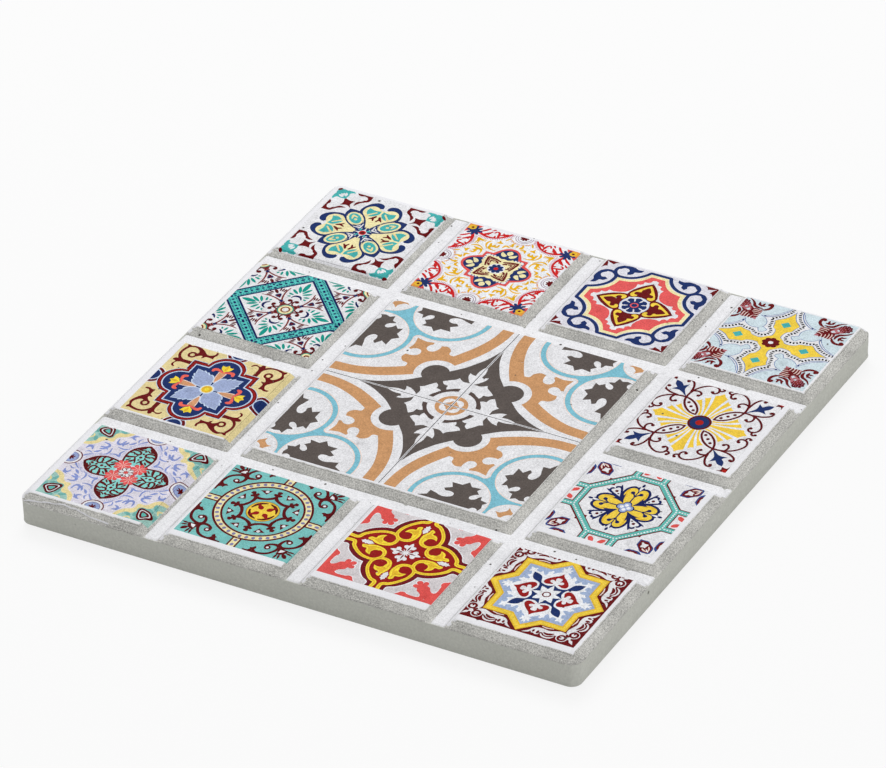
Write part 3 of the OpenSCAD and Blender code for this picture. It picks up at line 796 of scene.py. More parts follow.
def tulip_quatrefoil():
    s = Sheet("straw", right=21.4)
    # scrolls in the corners: a stem with two leaves, and an arch that ends in a leaf round a ring
    s.four("maroon", fill((9.5, 12.2, 1), (9.6, 15.5), (9.4, 16.8), (8.8, 17.5), (7.9, 17.7),
            (7.2, 17.4), (6.8, 16.7, 1), (6.4, 17), (6.8, 18), (7.8, 18.4), (9.3, 18), (9.6, 19),
            (10.2, 19.4, 1), (10.8, 19), (11.2, 17.8), (11.2, 16), (11.2, 12.2, 1)),
        band([(10.8, 16.2), (11.6, 17.6), (13.1, 18.6), (15, 18.85), (16.8, 18.5), (18.2, 18)],
            (.7, .95, .85, .85, .9, 1)),
        fill((17.2, 18.4), (18.3, 18.7), (19, 19.1, 1), (19.2, 18.3), (18.8, 17.3), (19.5, 15.8),
            (19.05, 13.85), (17.9, 11.9), (16.8, 10.6), (16.4, 9.8), (16.6, 8.7), (17.3, 7.8),
            (18.3, 7.7), (18.9, 7.8, 1), (18.6, 7), (17.3, 6.8), (16.3, 7.2), (15, 7.1, 1), (15.2, 8.5),
            (15.1, 10), (14.4, 10.4), (13.8, 11.2, 1), (15, 11.1), (15.1, 11.8), (14.3, 12.8),
            (13.6, 13.8, 1), (14.5, 13.4), (15.5, 13.9, 1), (16.2, 13.3), (17.3, 13.7), (18.1, 14.8),
            (18.4, 15.9), (18, 17.2)),
        ring(14.45, 14.6, 1.2, .85))
    # half discs in the middle of the edges
    s.four("frost", disc(0, 20.9, 4.5))
    s.four("maroon", disc(0, 20.9, 4.2))
    s.four("lightblue", disc(0, 20.9, 3.15))
    s.four("navy", disc(0, 20.9, 2.7))

    def quatrefoil(side, top, lobe):
        one = [(0, top), (lobe*.5, top - lobe*.13), (lobe*.87, top - lobe*.5), (lobe, top - lobe + .4),
            (lobe + .1, side, 1), (side, side, 1)]
        return fill(*turned(doubled(one)[:-1]), steps=8)

    s.one("lightblue", quatrefoil(12.6, 18.1, 7.2))
    s.one("maroon", quatrefoil(12.35, 17.85, 7))
    s.one("maroonred", quatrefoil(11.8, 17.4, 6.65))
    s.one("maroon", quatrefoil(11.05, 16.75, 6.1))
    s.one("lightblue", quatrefoil(10.75, 16.45, 5.85))
    s.one("navy", quatrefoil(10.3, 16, 5.4))
    # tulips
    s.eight("blush", fill((0, 10.2, 1), (1.5, 9.8, 1), (1.3, 7.6), (.8, 5.4), (.2, 4, 1), (0, 4, 1)))
    s.eight("tan", fill((0, 10.2, 1), (1.2, 9.8, 1), (1, 7.6), (.6, 5.6), (0, 4.4, 1)))
    s.eight("corallight", band([(0, 10), (1.4, 10.5), (2.4, 10.8), (3.4, 10.6), (3.7, 9.8)],
        (.5, .8, 1.1, 1.3, 1)))
    s.eight("sunny", fill((0, 10.2, 1), (.5, 10.8), (1.3, 11.3), (1.8, 12.2), (2.1, 13.4, 1),
        (1.2, 13.2), (.6, 13.4), (0, 14.2, 1)))
    s.four("gold", petal(0, 10.8, 90, 2.8, 1, .7))

    # blue leaves
    def leaf(grow):
        edge = [(.7, 4.8), (1.7, 6.8), (3, 7.4, 1), (3.3, 7, 1), (4.4, 8.1, 1), (4.8, 7.7, 1),
            (6, 8.5, 1), (6.4, 8, 1)]
        tip = 8.6 + grow*.4
        half = [(x - grow, y + grow, *w) for x, y, *w in edge]
        return fill(*doubled([(.2, .2, 1), *half, (tip, tip, 1)]))

    s.four("lightblue", leaf(.2))
    s.four("bluegrey", leaf(-.12))
    s.one("lightblue", disc(0, 0, 2.5))
    s.one("cream", disc(0, 0, 2.1))
    s.one("gold", disc(0, 0, 1.8))
    s.one("sunny", disc(0, 0, .9))
    return s


def cement_star():
    s = Sheet("white", 46.5)
    # blue rings and corner circles
    rings = ((24.6, 44.2), (44.2, 24.6))
    for grow, ink in ((.4, "blush"), (0, "sky")):
        for a, b in rings:
            s.four(ink, disc(a, b, 14.45 + grow, count=64))
        s.four(ink, fill((29.8 - grow, 29.8 - grow, 1), (31.5, 26, 1), (37.6, 34.4), (47, 36.8, 1),
            (47, 47, 1), (36.8, 47, 1), (34.4, 37.6), (26, 31.5, 1)))
    for a, b in rings:
        s.four("blush", disc(a, b, 12.75, count=56))
        s.four("white", disc(a, b, 12.4, count=56))
    s.four("blush", disc(46.3, 46.3, 8, count=40))
    s.four("white", disc(46.3, 46.3, 7.7, count=40))
    s.four("ochre", fill((42.6, 46.2, 1), (41.9, 45.2), (40.6, 43.9, 1), (42.2, 43.9), (43.1, 43.1),
        (43.9, 42.2), (43.9, 40.6, 1), (45.2, 41.9), (46.2, 42.6, 1), (46.2, 46.2, 1)))
    s.four("white", disc(46.9, 46.9, 3.2))
    leaf = fill((13.6, 47.4, 1), (14, 46.4, 1), (16.6, 45, 1), (16.7, 42.7, 1), (19.2, 43.4, 1),
        (20.9, 44), (22.8, 43.8), (24.3, 42.7), (24.2, 41.3), (22.6, 40.7), (21, 40.9), (20, 39.9, 1),
        (22.2, 38.4, 1), (20.8, 36.1, 1), (23, 36.1), (24.4, 36.1, 1), (26, 34, 1), (27.7, 35.9, 1),
        (31.1, 35.5, 1), (30.3, 37.1, 1), (31.8, 38.6, 1), (30.6, 39.3), (29.6, 40.6), (29.9, 41.7),
        (31, 41.8), (32, 41), (32.4, 40), (33.1, 39.1, 1), (33.7, 40.9, 1), (36.3, 41.4, 1),
        (35.3, 42.9, 1), (35.9, 44.6, 1), (35.4, 46.4, 1), (35.2, 47.4, 1), steps=4)
    s.four("brown", leaf, swap(leaf))
    s.eight("white", disc(33.9, 46.9, 1.5))
    # orange bands with their crowns
    half = [(5.9, 47, 1), (6.4, 39.5), (8.4, 33), (11.2, 27.4), (13, 24.4, 1), (14.7, 24.7),
        (15.3, 26.8), (17.2, 28.2), (19.2, 27.8, 1), (19.2, 26.1), (20, 24.2), (21.6, 23.6), (23, 24.4),
        (23.3, 25.6), (22.9, 26.8), (22.2, 27.6), (22.4, 28.5, 1), (25, 28), (26.6, 28.2),
        (28.7, 28.7, 1)]
    s.four("ochre", fill((0, 0, 1), *doubled([(0, 47, 1)] + half)))
    s.eight("white", fill((0, 47, 1), (1.7, 47, 1), (2.2, 39), (4.1, 31.4), (7, 25.1), (10, 20, 1),
        (12, 12, 1), (0, 0, 1)))
    s.four("white", disc(13.6, 13.6, 7.2, count=48))
    # dark star with round lobes
    s.eight("brown", fill((0, 35, 1), (1.2, 30.4), (2.5, 27), (4.3, 23.7), (6.4, 20.4), (9.6, 16.8, 1),
        (13, 13, 1), (0, 0, 1)))
    s.four("brown", disc(13.6, 13.6, 4.65, count=40))
    # white leaf cross
    s.eight("white", fill((0, 23.8, 1), (.8, 22), (1.2, 20), (1.1, 17.8, 1), (2.2, 17.9),
        (3.4, 18.4, 1), (3.1, 16.7), (2.2, 15.1), (1.3, 13.9), (.5, 13.4, 1), (2.9, 13.2), (4, 13.7),
        (5.1, 14.5, 1), (5.8, 13.3), (6.9, 12.5), (8.1, 11.6), (9.2, 10.7, 1), (8.1, 9.5),
        (6.4, 9.2, 1), (6.4, 8.2), (5.9, 7.2, 1), (4.7, 7.9), (3.4, 8.9), (1.8, 9.4), (0, 9.4, 1)))
    s.one("umber", ring(0, 0, 8.6, 1.35))
    s.one("white", disc(0, 0, 7.93, count=48))
    s.four("white", poly((-1.8, 5), (1.8, 5), (1.8, 10.5), (-1.8, 10.5)))
    s.one("ochre", disc(0, 0, 5.4, count=40))
    s.one("white", rose(0, 0, 4, 3.1, 4.1, 45))
    s.one("ochre", rose(0, 0, 4, 1.9, 2.6, 0))
    # seams of the four cement tiles
    s.four("white", poly((-.34, 0), (.34, 0), (.34, 47), (-.34, 47)))
    s.four("ink", poly((-.12, 0), (.12, 0), (.12, 47), (-.12, 47)))
    return s

# Each tile's name, column and row, half its flat top and its pattern, then the print's shift off
# the tile's middle in millimetres and its size against the drawing, in the two directions. These
# last four numbers are a program's fit of a render to the photo, rounded
TILES = (
    ("front_left", 0, 0, TOP, blossom_cross, (1.8, 1.9), (1.00, 1.01)),
    ("front_mid_left", 1, 0, TOP, banded_wheel, (0.3, 2.6), (0.99, 0.98)),
    ("front_mid_right", 2, 0, TOP, gold_quatrefoil, (0.0, 3.0), (0.96, 0.95)),
    ("front_right", 3, 0, TOP, hearts_star, (-1.6, 3.0), (0.99, 0.99)),
    ("right_mid_front", 3, 1, TOP, octagon_hearts, (-1.5, 2.6), (0.95, 0.98)),
    ("right_mid_back", 3, 2, TOP, sunburst, (-2.0, 2.1), (0.97, 1.01)),
    ("back_right", 3, 3, TOP, light_cross, (-2.2, 0.5), (1.05, 0.97)),
    ("back_mid_right", 2, 3, TOP, octagon_star, (-0.5, 0.4), (1.00, 0.97)),
    ("back_mid_left", 1, 3, TOP, lace_quatrefoil, (-0.1, -0.3), (1.00, 0.98)),
    ("back_left", 0, 3, TOP, lobed_flower, (1.0, -0.7), (0.99, 1.00)),
    ("left_mid_back", 0, 2, TOP, palmette_diamond, (0.9, 0.4), (0.98, 1.00)),
    ("left_mid_front", 0, 1, TOP, tulip_quatrefoil, (1.2, 1.4), (0.96, 1.01)),
    ("centre", 1.5, 1.5, BIG_TOP, cement_star, (-0.5, 1.8), (0.98, 0.99)),
)


# Surfaces

def noise(x, y, size, seed):
    """Smooth random heights from -1 to 1: a seeded grid of random numbers, size apart, blended
    between its corners by the cubic 3t^2 - 2t^3."""
    table = np.random.RandomState(seed).uniform(-1, 1, (64, 64))
    u = np.asarray(x, float) / size + 31.3
    v = np.asarray(y, float) / size + 17.7
    i = np.floor(u).astype(int)
    j = np.floor(v).astype(int)
    a = u - i
    b = v - j
    a = a * a * (3 - 2 * a)
    b = b * b * (3 - 2 * b)
    low = table[i % 64, j % 64] * (1 - a) + table[(i + 1) % 64, j % 64] * a
    high = table[i % 64, (j + 1) % 64] * (1 - a) + table[(i + 1) % 64, (j + 1) % 64] * a
    return low * (1 - b) + high * b


def past_edges(x, y, half, more):
    """How far points lie past the flat top's edges, as the drop of a flank sees it: past the right,
    left, front and back one. The left and back edges lie further out by more, so those two flanks
    are the steeper ones."""
    right = x - half
    front = -y - half
    left = -x - half - more[0]
    back = y - half - more[1]
    left = np.where(left > 0, left * FLANK / (FLANK - more[0]), left)
    back = np.where(back > 0, back * FLANK / (FLANK - more[1]), back)
    return right, left, front, back


def tile_height(x, y, half, more, outer):
    """Height over the joints of a tile centred at 0: the larger of the distances past its sides,
    with the hips rounded; the drop is that distance times the flank's slope, bent smoothly from
    nothing at the flat top's edge. Towards the slab's corner, which outer points to, the distance
    is the one past a square with round corners."""
    hip = 0.2
    bend = 0.16
    right, left, front, back = past_edges(x, y, half, more)
    a = np.maximum(right, left)
    b = np.maximum(front, back)
    past = (a + b + np.sqrt((a - b)**2 + hip)) / 2
    if outer is not None:
        soft = CORNER - FLANK
        beyond = np.hypot(np.maximum(a + soft, 0), np.maximum(b + soft, 0)) - soft
        beyond = beyond + np.minimum(np.maximum(a, b) + soft, 0)
        past = np.where((x * outer[0] > 0) & (y * outer[1] > 0), beyond, past)
    past = past + 0.10 * noise(x * 1.3, y, 2.6, 5)
    return RISE - RISE / FLANK * (past + np.sqrt(past * past + bend)) / 2


def pit_depth(x, y, pits):
    """Depth of the pinholes at each point: a pit of radius r is a bowl, 1 - (distance / r)^2."""
    depth = np.zeros(len(x))
    for px, py, r, deep in pits:
        share = 1 - ((x - px)**2 + (y - py)**2) / (r * r)
        depth = np.maximum(depth, deep * np.clip(share * 1.6, 0, 1))
    return depth


def chained(loop):
    """The edges from each point of a closed outline to the next."""
    return np.stack([loop, np.roll(loop, -1, 0)], 1)


def cut_edges(loops, low, high):
    """The outlines' edges inside a rectangle: each edge keeps the part between the largest entry
    and the smallest exit over the two directions."""
    a, b = np.vstack([chained(loop) for loop in loops]).swapaxes(0, 1)
    step = b - a
    enter = np.zeros(len(a))
    leave = np.ones(len(a))
    for k in (0, 1):
        flat = np.abs(step[:, k]) < 1e-9
        safe = np.where(flat, 1.0, step[:, k])
        one = (low[k] - a[:, k]) / safe
        two = (high[k] - a[:, k]) / safe
        inside = (a[:, k] > low[k]) & (a[:, k] < high[k])
        enter = np.maximum(enter, np.where(flat, np.where(inside, 0, 2), np.minimum(one, two)))
        leave = np.minimum(leave, np.where(flat, 1, np.maximum(one, two)))
    keep = leave - enter > 1e-6
    start = a[keep] + step[keep] * enter[keep, None]
    end = a[keep] + step[keep] * leave[keep, None]
    return np.stack([start, end], 1)


def winding(points, loops):
    """How often the outlines turn round each point: crossings of a ray towards +X, up less down."""
    a, b = np.vstack([chained(loop) for loop in loops]).swapaxes(0, 1)
    x, y = points[:, :1], points[:, 1:]
    side = (b[:, 0] - a[:, 0]) * (y - a[:, 1]) - (x - a[:, 0]) * (b[:, 1] - a[:, 1])
    up = (a[:, 1] <= y) & (b[:, 1] > y) & (side > 0)
    down = (a[:, 1] > y) & (b[:, 1] <= y) & (side < 0)
    return up.sum(1) - down.sum(1)


def triangulate(edges):
    """Delaunay triangles that keep every given edge, and the points they stand on."""
    ends = np.round(edges.reshape(-1, 2), 3)
    points, index = np.unique(ends, axis=0, return_inverse=True)
    pairs = np.sort(index.reshape(-1, 2), axis=1)
    pairs = np.unique(pairs[pairs[:, 0] != pairs[:, 1]], axis=0)
    made = geometry.delaunay_2d_cdt([Vector(p) for p in points], pairs.tolist(), [], 0, 1e-4)
    return np.array([tuple(v) for v in made[0]]), np.array(made[2])


def round_box(left, right, front, back, count):
    """The outline of a rectangle with count points on each side."""
    corners = np.array([(left, front), (right, front), (right, back), (left, back)])
    share = np.linspace(0, 1, count + 1)[:-1, None]
    return np.vstack([a + (b - a) * share for a, b in zip(corners, np.roll(corners, -1, 0))])


def edge_ring(half, past, more):
    """The outline on a tile where the distance past the flat top's edge is the given one."""
    left, back = half + more + past * (1 - more / FLANK if past > 0 else 1)
    near = half + past
    return round_box(-left, near, -near, back, int((near + left) / 1.6))


def make_mesh(name, points, faces, material, colours=None, coat=None, flat=None, unwrap=None):
    """A mesh from points in millimetres and triangles. colours are red, green, blue and cover for
    each triangle; coat is a number for each point; flat marks triangles shaded flat; unwrap is
    (corner, side) of the square that the map is laid over from above."""
    keep, order = np.unique(faces, return_inverse=True)
    points = np.asarray(points, float)[keep]
    faces = order.reshape(faces.shape)
    count = len(faces)
    mesh = bpy.data.meshes.new(name)
    mesh.vertices.add(len(points))
    mesh.vertices.foreach_set("co", (points / 1000).ravel())
    mesh.loops.add(count * 3)
    mesh.loops.foreach_set("vertex_index", faces.ravel().astype(np.int32))
    mesh.polygons.add(count)
    mesh.polygons.foreach_set("loop_start", np.arange(0, count * 3, 3, dtype=np.int32))
    flat = np.zeros(count, bool) if flat is None else flat
    mesh.polygons.foreach_set("use_smooth", ~flat)
    mesh.update(calc_edges=True)
    if colours is not None:
        layer = mesh.attributes.new("ink", "FLOAT_COLOR", "CORNER")
        layer.data.foreach_set("color", np.repeat(colours, 3, axis=0).ravel().astype(np.float32))
    if coat is not None:
        layer = mesh.attributes.new("coat", "FLOAT", "POINT")
        layer.data.foreach_set("value", coat[keep].astype(np.float32))
    if unwrap is not None:
        corner, side = unwrap
        flatmap = (points[faces.ravel()][:, :2] - corner) / side
        hidden = np.repeat(flat, 3)
        # The seen triangles fill the map but for a margin, and the hidden ones share its far corner
        uv = np.where(hidden[:, None], 0.991 + 0.007 * flatmap, 0.006 + 0.978 * flatmap)
        layer = mesh.uv_layers.new(name="OFBake")
        layer.data.foreach_set("uv", uv.ravel().astype(np.float32))
    mesh.validate()
    mesh.materials.append(material)
    piece = bpy.data.objects.new(name, mesh)
    bpy.context.scene.collection.objects.link(piece)
    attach(piece, "root")
    return piece


def rim(faces):
    """The edges that only one triangle uses, in that triangle's direction."""
    ends = np.vstack([faces[:, [0, 1]], faces[:, [1, 2]], faces[:, [2, 0]]])
    span = faces.max() + 1
    key = ends[:, 0] * span + ends[:, 1]
    back = ends[:, 1] * span + ends[:, 0]
    return ends[~np.isin(key, back)]


def fan(ends, tip):
    """Triangles from a rim's edges to one point, on the rim's other side."""
    return np.column_stack([ends[:, ::-1], np.full(len(ends), tip)])


def wall(ends, deeper):
    """Two triangles from each of a rim's edges down to points that are numbered deeper higher."""
    a, b = ends.T
    return np.vstack([np.stack([b, a, a + deeper], 1), np.stack([b, a + deeper, b + deeper], 1)])


def lip_line(x):
    """Where the skin on the front left tile's flank ends, from its left end to its right one."""
    run = (-23.2, -20, -16, -12, -7, -2, 4, 12, 23.2)
    back = (-22.8, -22.7, -22.2, -21.6, -21.1, -21.4, -22.2, -22.7, -23)
    return np.interp(x, run, back) + 0.12 * noise(x, 0, 1.3, 27)


def tile_pits(half, dice):
    """A tile's pinholes as (x, y, radius, depth), along its sides or on its flat top."""
    pits = []
    for _ in range(dice.randint(9, 15)):
        past = dice.uniform(-half, 2.2)
        u = dice.uniform(-0.92, 0.92) * half
        side = dice.randint(0, 4)
        v = half + past if past > 0.6 else dice.uniform(-0.9, 0.9) * half
        x, y = ((u, v), (v, -u), (-u, -v), (-v, u))[side]
        r = dice.uniform(0.22, 0.5)
        pits.append((x, y, r, r * 0.9))
    return pits


def tile_foot(foot, outer):
    """The outline of a tile's foot. The slab's rounded upright corner trims a corner tile."""
    outline = round_box(-foot, foot, -foot, foot, int(2 * foot))
    if outer is None:
        return outline
    arc = np.radians(np.linspace(0, 90, 13))
    bend = np.stack([np.cos(arc), np.sin(arc)], 1) * CORNER + (foot - CORNER)
    outline = np.vstack([outline[~(outline * outer > foot - CORNER).all(1)], bend * outer])
    return outline[np.argsort(np.arctan2(outline[:, 1], outline[:, 0]))]


def ink_colours(middle, ground, layers, low, high):
    """Red, green, blue and cover of triangles by their middles: the ground's inside the print's
    rectangle, then those of the last ink whose outlines turn round the middle. Outside it is bare."""
    colours = np.tile(BARE, (len(middle), 1))
    printed = ((middle > low) & (middle < high)).all(1)
    colours[printed] = np.r_[linear(INKS[ground]), 1.0]
    for ink, loops in layers:
        every = np.vstack(loops)
        near = (middle > every.min(0)) & (middle < every.max(0))
        near = np.flatnonzero(printed & near.all(1))
        if len(near):
            near = near[winding(middle[near], loops) != 0]
            colours[near, :3] = linear(INKS[ink])
    return colours


def coat_and_painted_light(x, y, half, more, outer, origin):
    """How well the white coat covers each point: fully on the flat top, thinner down the flanks
    that face left and back, and not at all past a ragged line on the other two. This is partly
    real coat and partly painted light: the left and back flanks face the light and are painted
    whiter, the front and right ones are painted greyer as shade, and the coat's thinning at the
    foot of the left and back flanks is a painted shade where they meet the joints."""
    right, left, front, back = past_edges(x, y, half, more)
    # The sides that face the light (left, back) and those facing away (right, front): their coat
    # differs partly as painted light and shade
    past_lit_sides = np.maximum(left, back)
    bare_shaded = np.maximum(right, front)
    coat = 0.5 - (bare_shaded + 0.12) / 0.5 + 0.35 * noise(x + origin[0], y + origin[1], 1.1, 3)
    if outer is not None:
        soft = CORNER - FLANK
        beyond = np.hypot(np.maximum(past_lit_sides + soft, 0), np.maximum(bare_shaded + soft, 0)) - soft
        at_corner = (x * outer[0] > 0) & (y * outer[1] > 0)
        coat = np.where(at_corner & (beyond > 0.12) & (bare_shaded > past_lit_sides), 0, coat)
    # Painted shade: the coat on the left and back flanks thins towards their foot, so they turn grey
    # where they meet the joints
    lit_coat_shaded_foot = np.clip(3.4 - past_lit_sides * 1.1, 0.25, 1)
    return np.where((past_lit_sides > 0.05) & (past_lit_sides >= bare_shaded), lit_coat_shaded_foot, np.clip(coat, 0, 1))


def printed_tile(place, column, row, half, pattern, shift, size, seed):
    """One tile, as the printed face on top and the cement block under it. The outlines of the
    pattern, squares along the slope and rings round the pinholes are cut into one sheet of
    triangles, each triangle takes the last ink over its middle, and the sheet is lifted to the
    tile's height. The face ends where the printed layer does, and both are closed below."""
    foot = half + FLANK
    origin = (np.array([column, row]) - 1.5) * PITCH
    more = np.array([LEFT_MORE, FAR_BACK.get(place, BACK_MORE)])
    outer = None
    if column in (0, 3) and row in (0, 3):
        outer = np.array([1 if column else -1, 1 if row else -1])
    # The print lies a little off its tile. In front and on the right it may run down the flank
    sheet = pattern()
    size = np.array(size) * MOTIF
    low = np.maximum(shift - sheet.reach * size, (-half - more[0] - 0.1, -foot))
    high = np.minimum(shift + sheet.far * size, (foot, half + more[1] + 0.1))
    layers = [(ink, [loop * size + shift for loop in loops]) for ink, loops in sheet.layers]
    split = FLANK * COAT / RISE
    outline = tile_foot(foot, outer)
    pits = tile_pits(half, np.random.RandomState(100 + seed))
    loops = [round_box(low[0], high[0], low[1], high[1], 24), outline]
    for past in (-1.4, -0.5, -0.15, 0.12, split, 0.75, 1.3, 1.9, 2.45):
        loops.append(edge_ring(half, past, more))
    for px, py, r, _ in pits:
        loops += [disc(px, py, r * share, count=8)[0] for share in (1.0, 0.55)]
    edges = [cut_edges(loops, low, high) for ink, loops in layers] + [chained(loop) for loop in loops]
    if place == "front_left":
        # A thin skin of cement ends in a ragged lip on this flank
        run = np.arange(-foot + 0.1, foot, 0.7)
        for past in (0.0, 0.1, 0.5):
            edge = np.column_stack([run, lip_line(run) + past])
            edges.append(np.stack([edge[:-1], edge[1:]], 1))
    flat, faces = triangulate(np.vstack(edges))
    faces = faces[winding(flat[faces].mean(1), [outline]) != 0]
    x, y = flat.T
    height = tile_height(x, y, half, more, outer) - pit_depth(x, y, pits)
    height = np.minimum(height + 0.035 * noise(x + origin[0], y + origin[1], 7.0, 9), RISE)
    # The coat: partly real, partly painted light on the flanks facing the light and painted shade on
    # the others and at their foot
    coat = coat_and_painted_light(x, y, half, more, outer, origin)
    if place == "front_left":
        over = y - lip_line(x)
        height = np.where(over < 0.05, np.maximum(height - 0.22, np.minimum(height, 0.05)), height)
        coat = np.where((over > 0.05) & (over < 0.45) & (x < 10), 1.0, coat)
    middle = flat[faces].mean(1)
    colours = ink_colours(middle, sheet.ground, layers, low, high)
    top = np.max(past_edges(*middle.T, half, more), axis=0) < split
    # Under the sheet: a point below the face, one below the block's hollow, the block's lower
    # middle and a copy of the sheet's points at its base
    count = len(flat)
    points = np.vstack([np.column_stack([flat + origin, height + LEVEL]),
                        [(*origin, LEVEL + RISE - COAT), (*origin, LEVEL + RISE - COAT - 0.1),
                         (*origin, LEVEL - BASE)],
                        np.column_stack([flat + origin, np.full(count, LEVEL - BASE)])])
    coat = np.r_[coat, np.zeros(3 + count)]
    face_lids = fan(rim(faces[top]), count)
    ends = rim(faces[~top])
    outside = (np.abs(flat).max(1)[ends] > half + 1.2).all(1)
    block_lids = np.vstack([fan(ends[~outside], count + 1), wall(ends[outside], count + 3),
                            fan(ends[outside] + count + 3, count + 2)])
    for label, part, lids, look in (("face", top, face_lids, printed_coat),
                                    ("block", ~top, block_lids, tile_cement)):
        inks = np.vstack([colours[part], np.tile(BARE, (len(lids), 1))])
        hidden = np.r_[np.zeros(part.sum(), bool), np.ones(len(lids), bool)]
        piece = make_mesh(f"{label}_{place}", points, np.vstack([faces[part], lids]), look, inks,
                          coat, hidden, (origin - foot, 2 * foot))
        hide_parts(f"print_{place}" if label == "face" else f"tile_{place}")


def slab_outline(radius, back):
    """Points round the square of side 2 HALF - 2 back with rounded corners of that radius: each
    corner's arc in turn, and evenly spaced points on the straight sides."""
    far = HALF - back
    middle = far - radius
    straight = np.linspace(-middle, middle, 101)[1:-1]
    arc = np.radians(np.linspace(0, 90, 10))
    quarter = np.vstack([np.stack([np.full(99, far), straight], 1),
                         np.stack([middle + radius*np.cos(arc), middle + radius*np.sin(arc)], 1)])
    turns = [quarter, quarter[:, ::-1] * (-1, 1), -quarter, quarter[:, ::-1] * (1, -1)]
    return np.vstack(turns)


def slab_rows():
    """The slab's outside as rows of points: the rounded square outline carried along a profile
    from the middle of the underside round its soft edge, up the slightly leaning wall with shallow
    casting waves, to the top edge. The lean differs from side to side."""
    soft = 0.5
    edge = 0.3
    t = np.radians(np.linspace(0, 90, 6))
    profile = [(1.4, 1.0, UNDER)]
    profile += [(soft * (1 - np.sin(a)), 1.0, UNDER + soft * (1 - np.cos(a))) for a in t]
    rise = np.r_[np.linspace(0, 0.94, 14)[1:], 0.965, 1.0]
    profile += [(0.0, 1 - s, UNDER + soft + (LEVEL - UNDER - soft) * s) for s in rise]
    profile += [(edge, 0.0, LEVEL)]
    rows = []
    for back, low, z in profile:
        outline = slab_outline(CORNER - low, back)
        lean = np.where(outline > 0, (0.5, 0.2), (0.3, 0.05))
        outline = outline * (1 - low * lean / HALF)
        rows.append(np.column_stack([outline, np.full(len(outline), z)]))
    grid = np.array(rows)
    waved = (grid[..., 2] > UNDER + soft) & (grid[..., 2] < LEVEL - edge)
    dent = 0.06 + 0.06 * noise(grid[..., 0] + grid[..., 1] * 1.7, grid[..., 2] * 3, 9.0, 21)
    out = grid[..., :2] / np.maximum(np.abs(grid[..., :2]).max(-1, keepdims=True), 1)
    grid[..., :2] -= out * np.where(waved, dent, 0)[..., None]
    return grid


def cast_slab():
    """The slab: its rows closed below by a fan, and a top of triangles between the last row and
    the tiles' feet: at the joints' level under the tiles, and a channel deeper between them."""
    grid = slab_rows()
    count = grid.shape[1]
    size = grid.shape[0] * count
    last = size - count
    i = np.arange(count)
    around = np.stack([(i + 1) % count, i], 1)
    faces = [fan(around[:, ::-1], size)]
    faces += [wall(around + k * count, count) for k in range(len(grid) - 1)]
    # The top has its own points, and those on its outline are matched to the last row's
    loops = [np.round(grid[-1, :, :2], 3)]
    square = np.array([(-1, -1), (1, -1), (1, 1), (-1, 1)])
    feet = [((np.array(tile[1:3]) - 1.5) * PITCH, tile[3] + FLANK) for tile in TILES]
    inside, lean = 99.55, 0.06
    for middle, foot in feet:
        loops += [np.clip(middle + square * (foot + past), -inside, inside) for past in (0.0, lean)]
    flat, top = triangulate(np.vstack([chained(loop) for loop in loops]))
    top = top[winding(flat[top].mean(1), loops[:1]) != 0]
    height = np.full(len(flat), LEVEL - JOINT_DEPTH)
    for middle, foot in feet:
        height[np.abs(flat - middle).max(1) < foot + 0.01] = LEVEL - 0.02
    apart = np.abs(flat[:, None] - loops[0][None]).max(2)
    on_rim = apart.min(1) < 0.002
    index = np.where(on_rim, last + apart.argmin(1), size + 1 + np.arange(len(flat)))
    faces.append(index[top])
    points = np.vstack([grid.reshape(-1, 3), [[0, 0, UNDER]], np.column_stack([flat, height])])
    # White coat that ran over the top edge, most of it at the front's left end
    x, y, z = points.T
    spill = np.clip(1 - (LEVEL - z) / 0.5, 0, 1)
    spill *= np.where(y < -97, np.clip((-x - 50) / 40, 0.35, 1), 0.3)
    spill *= 0.75 + 0.5 * noise(x, y * 1.7, 5.0, 23)
    piece = make_mesh("cast_slab", points, np.vstack(faces), slab_cement, coat=spill)
    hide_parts("base_slab")


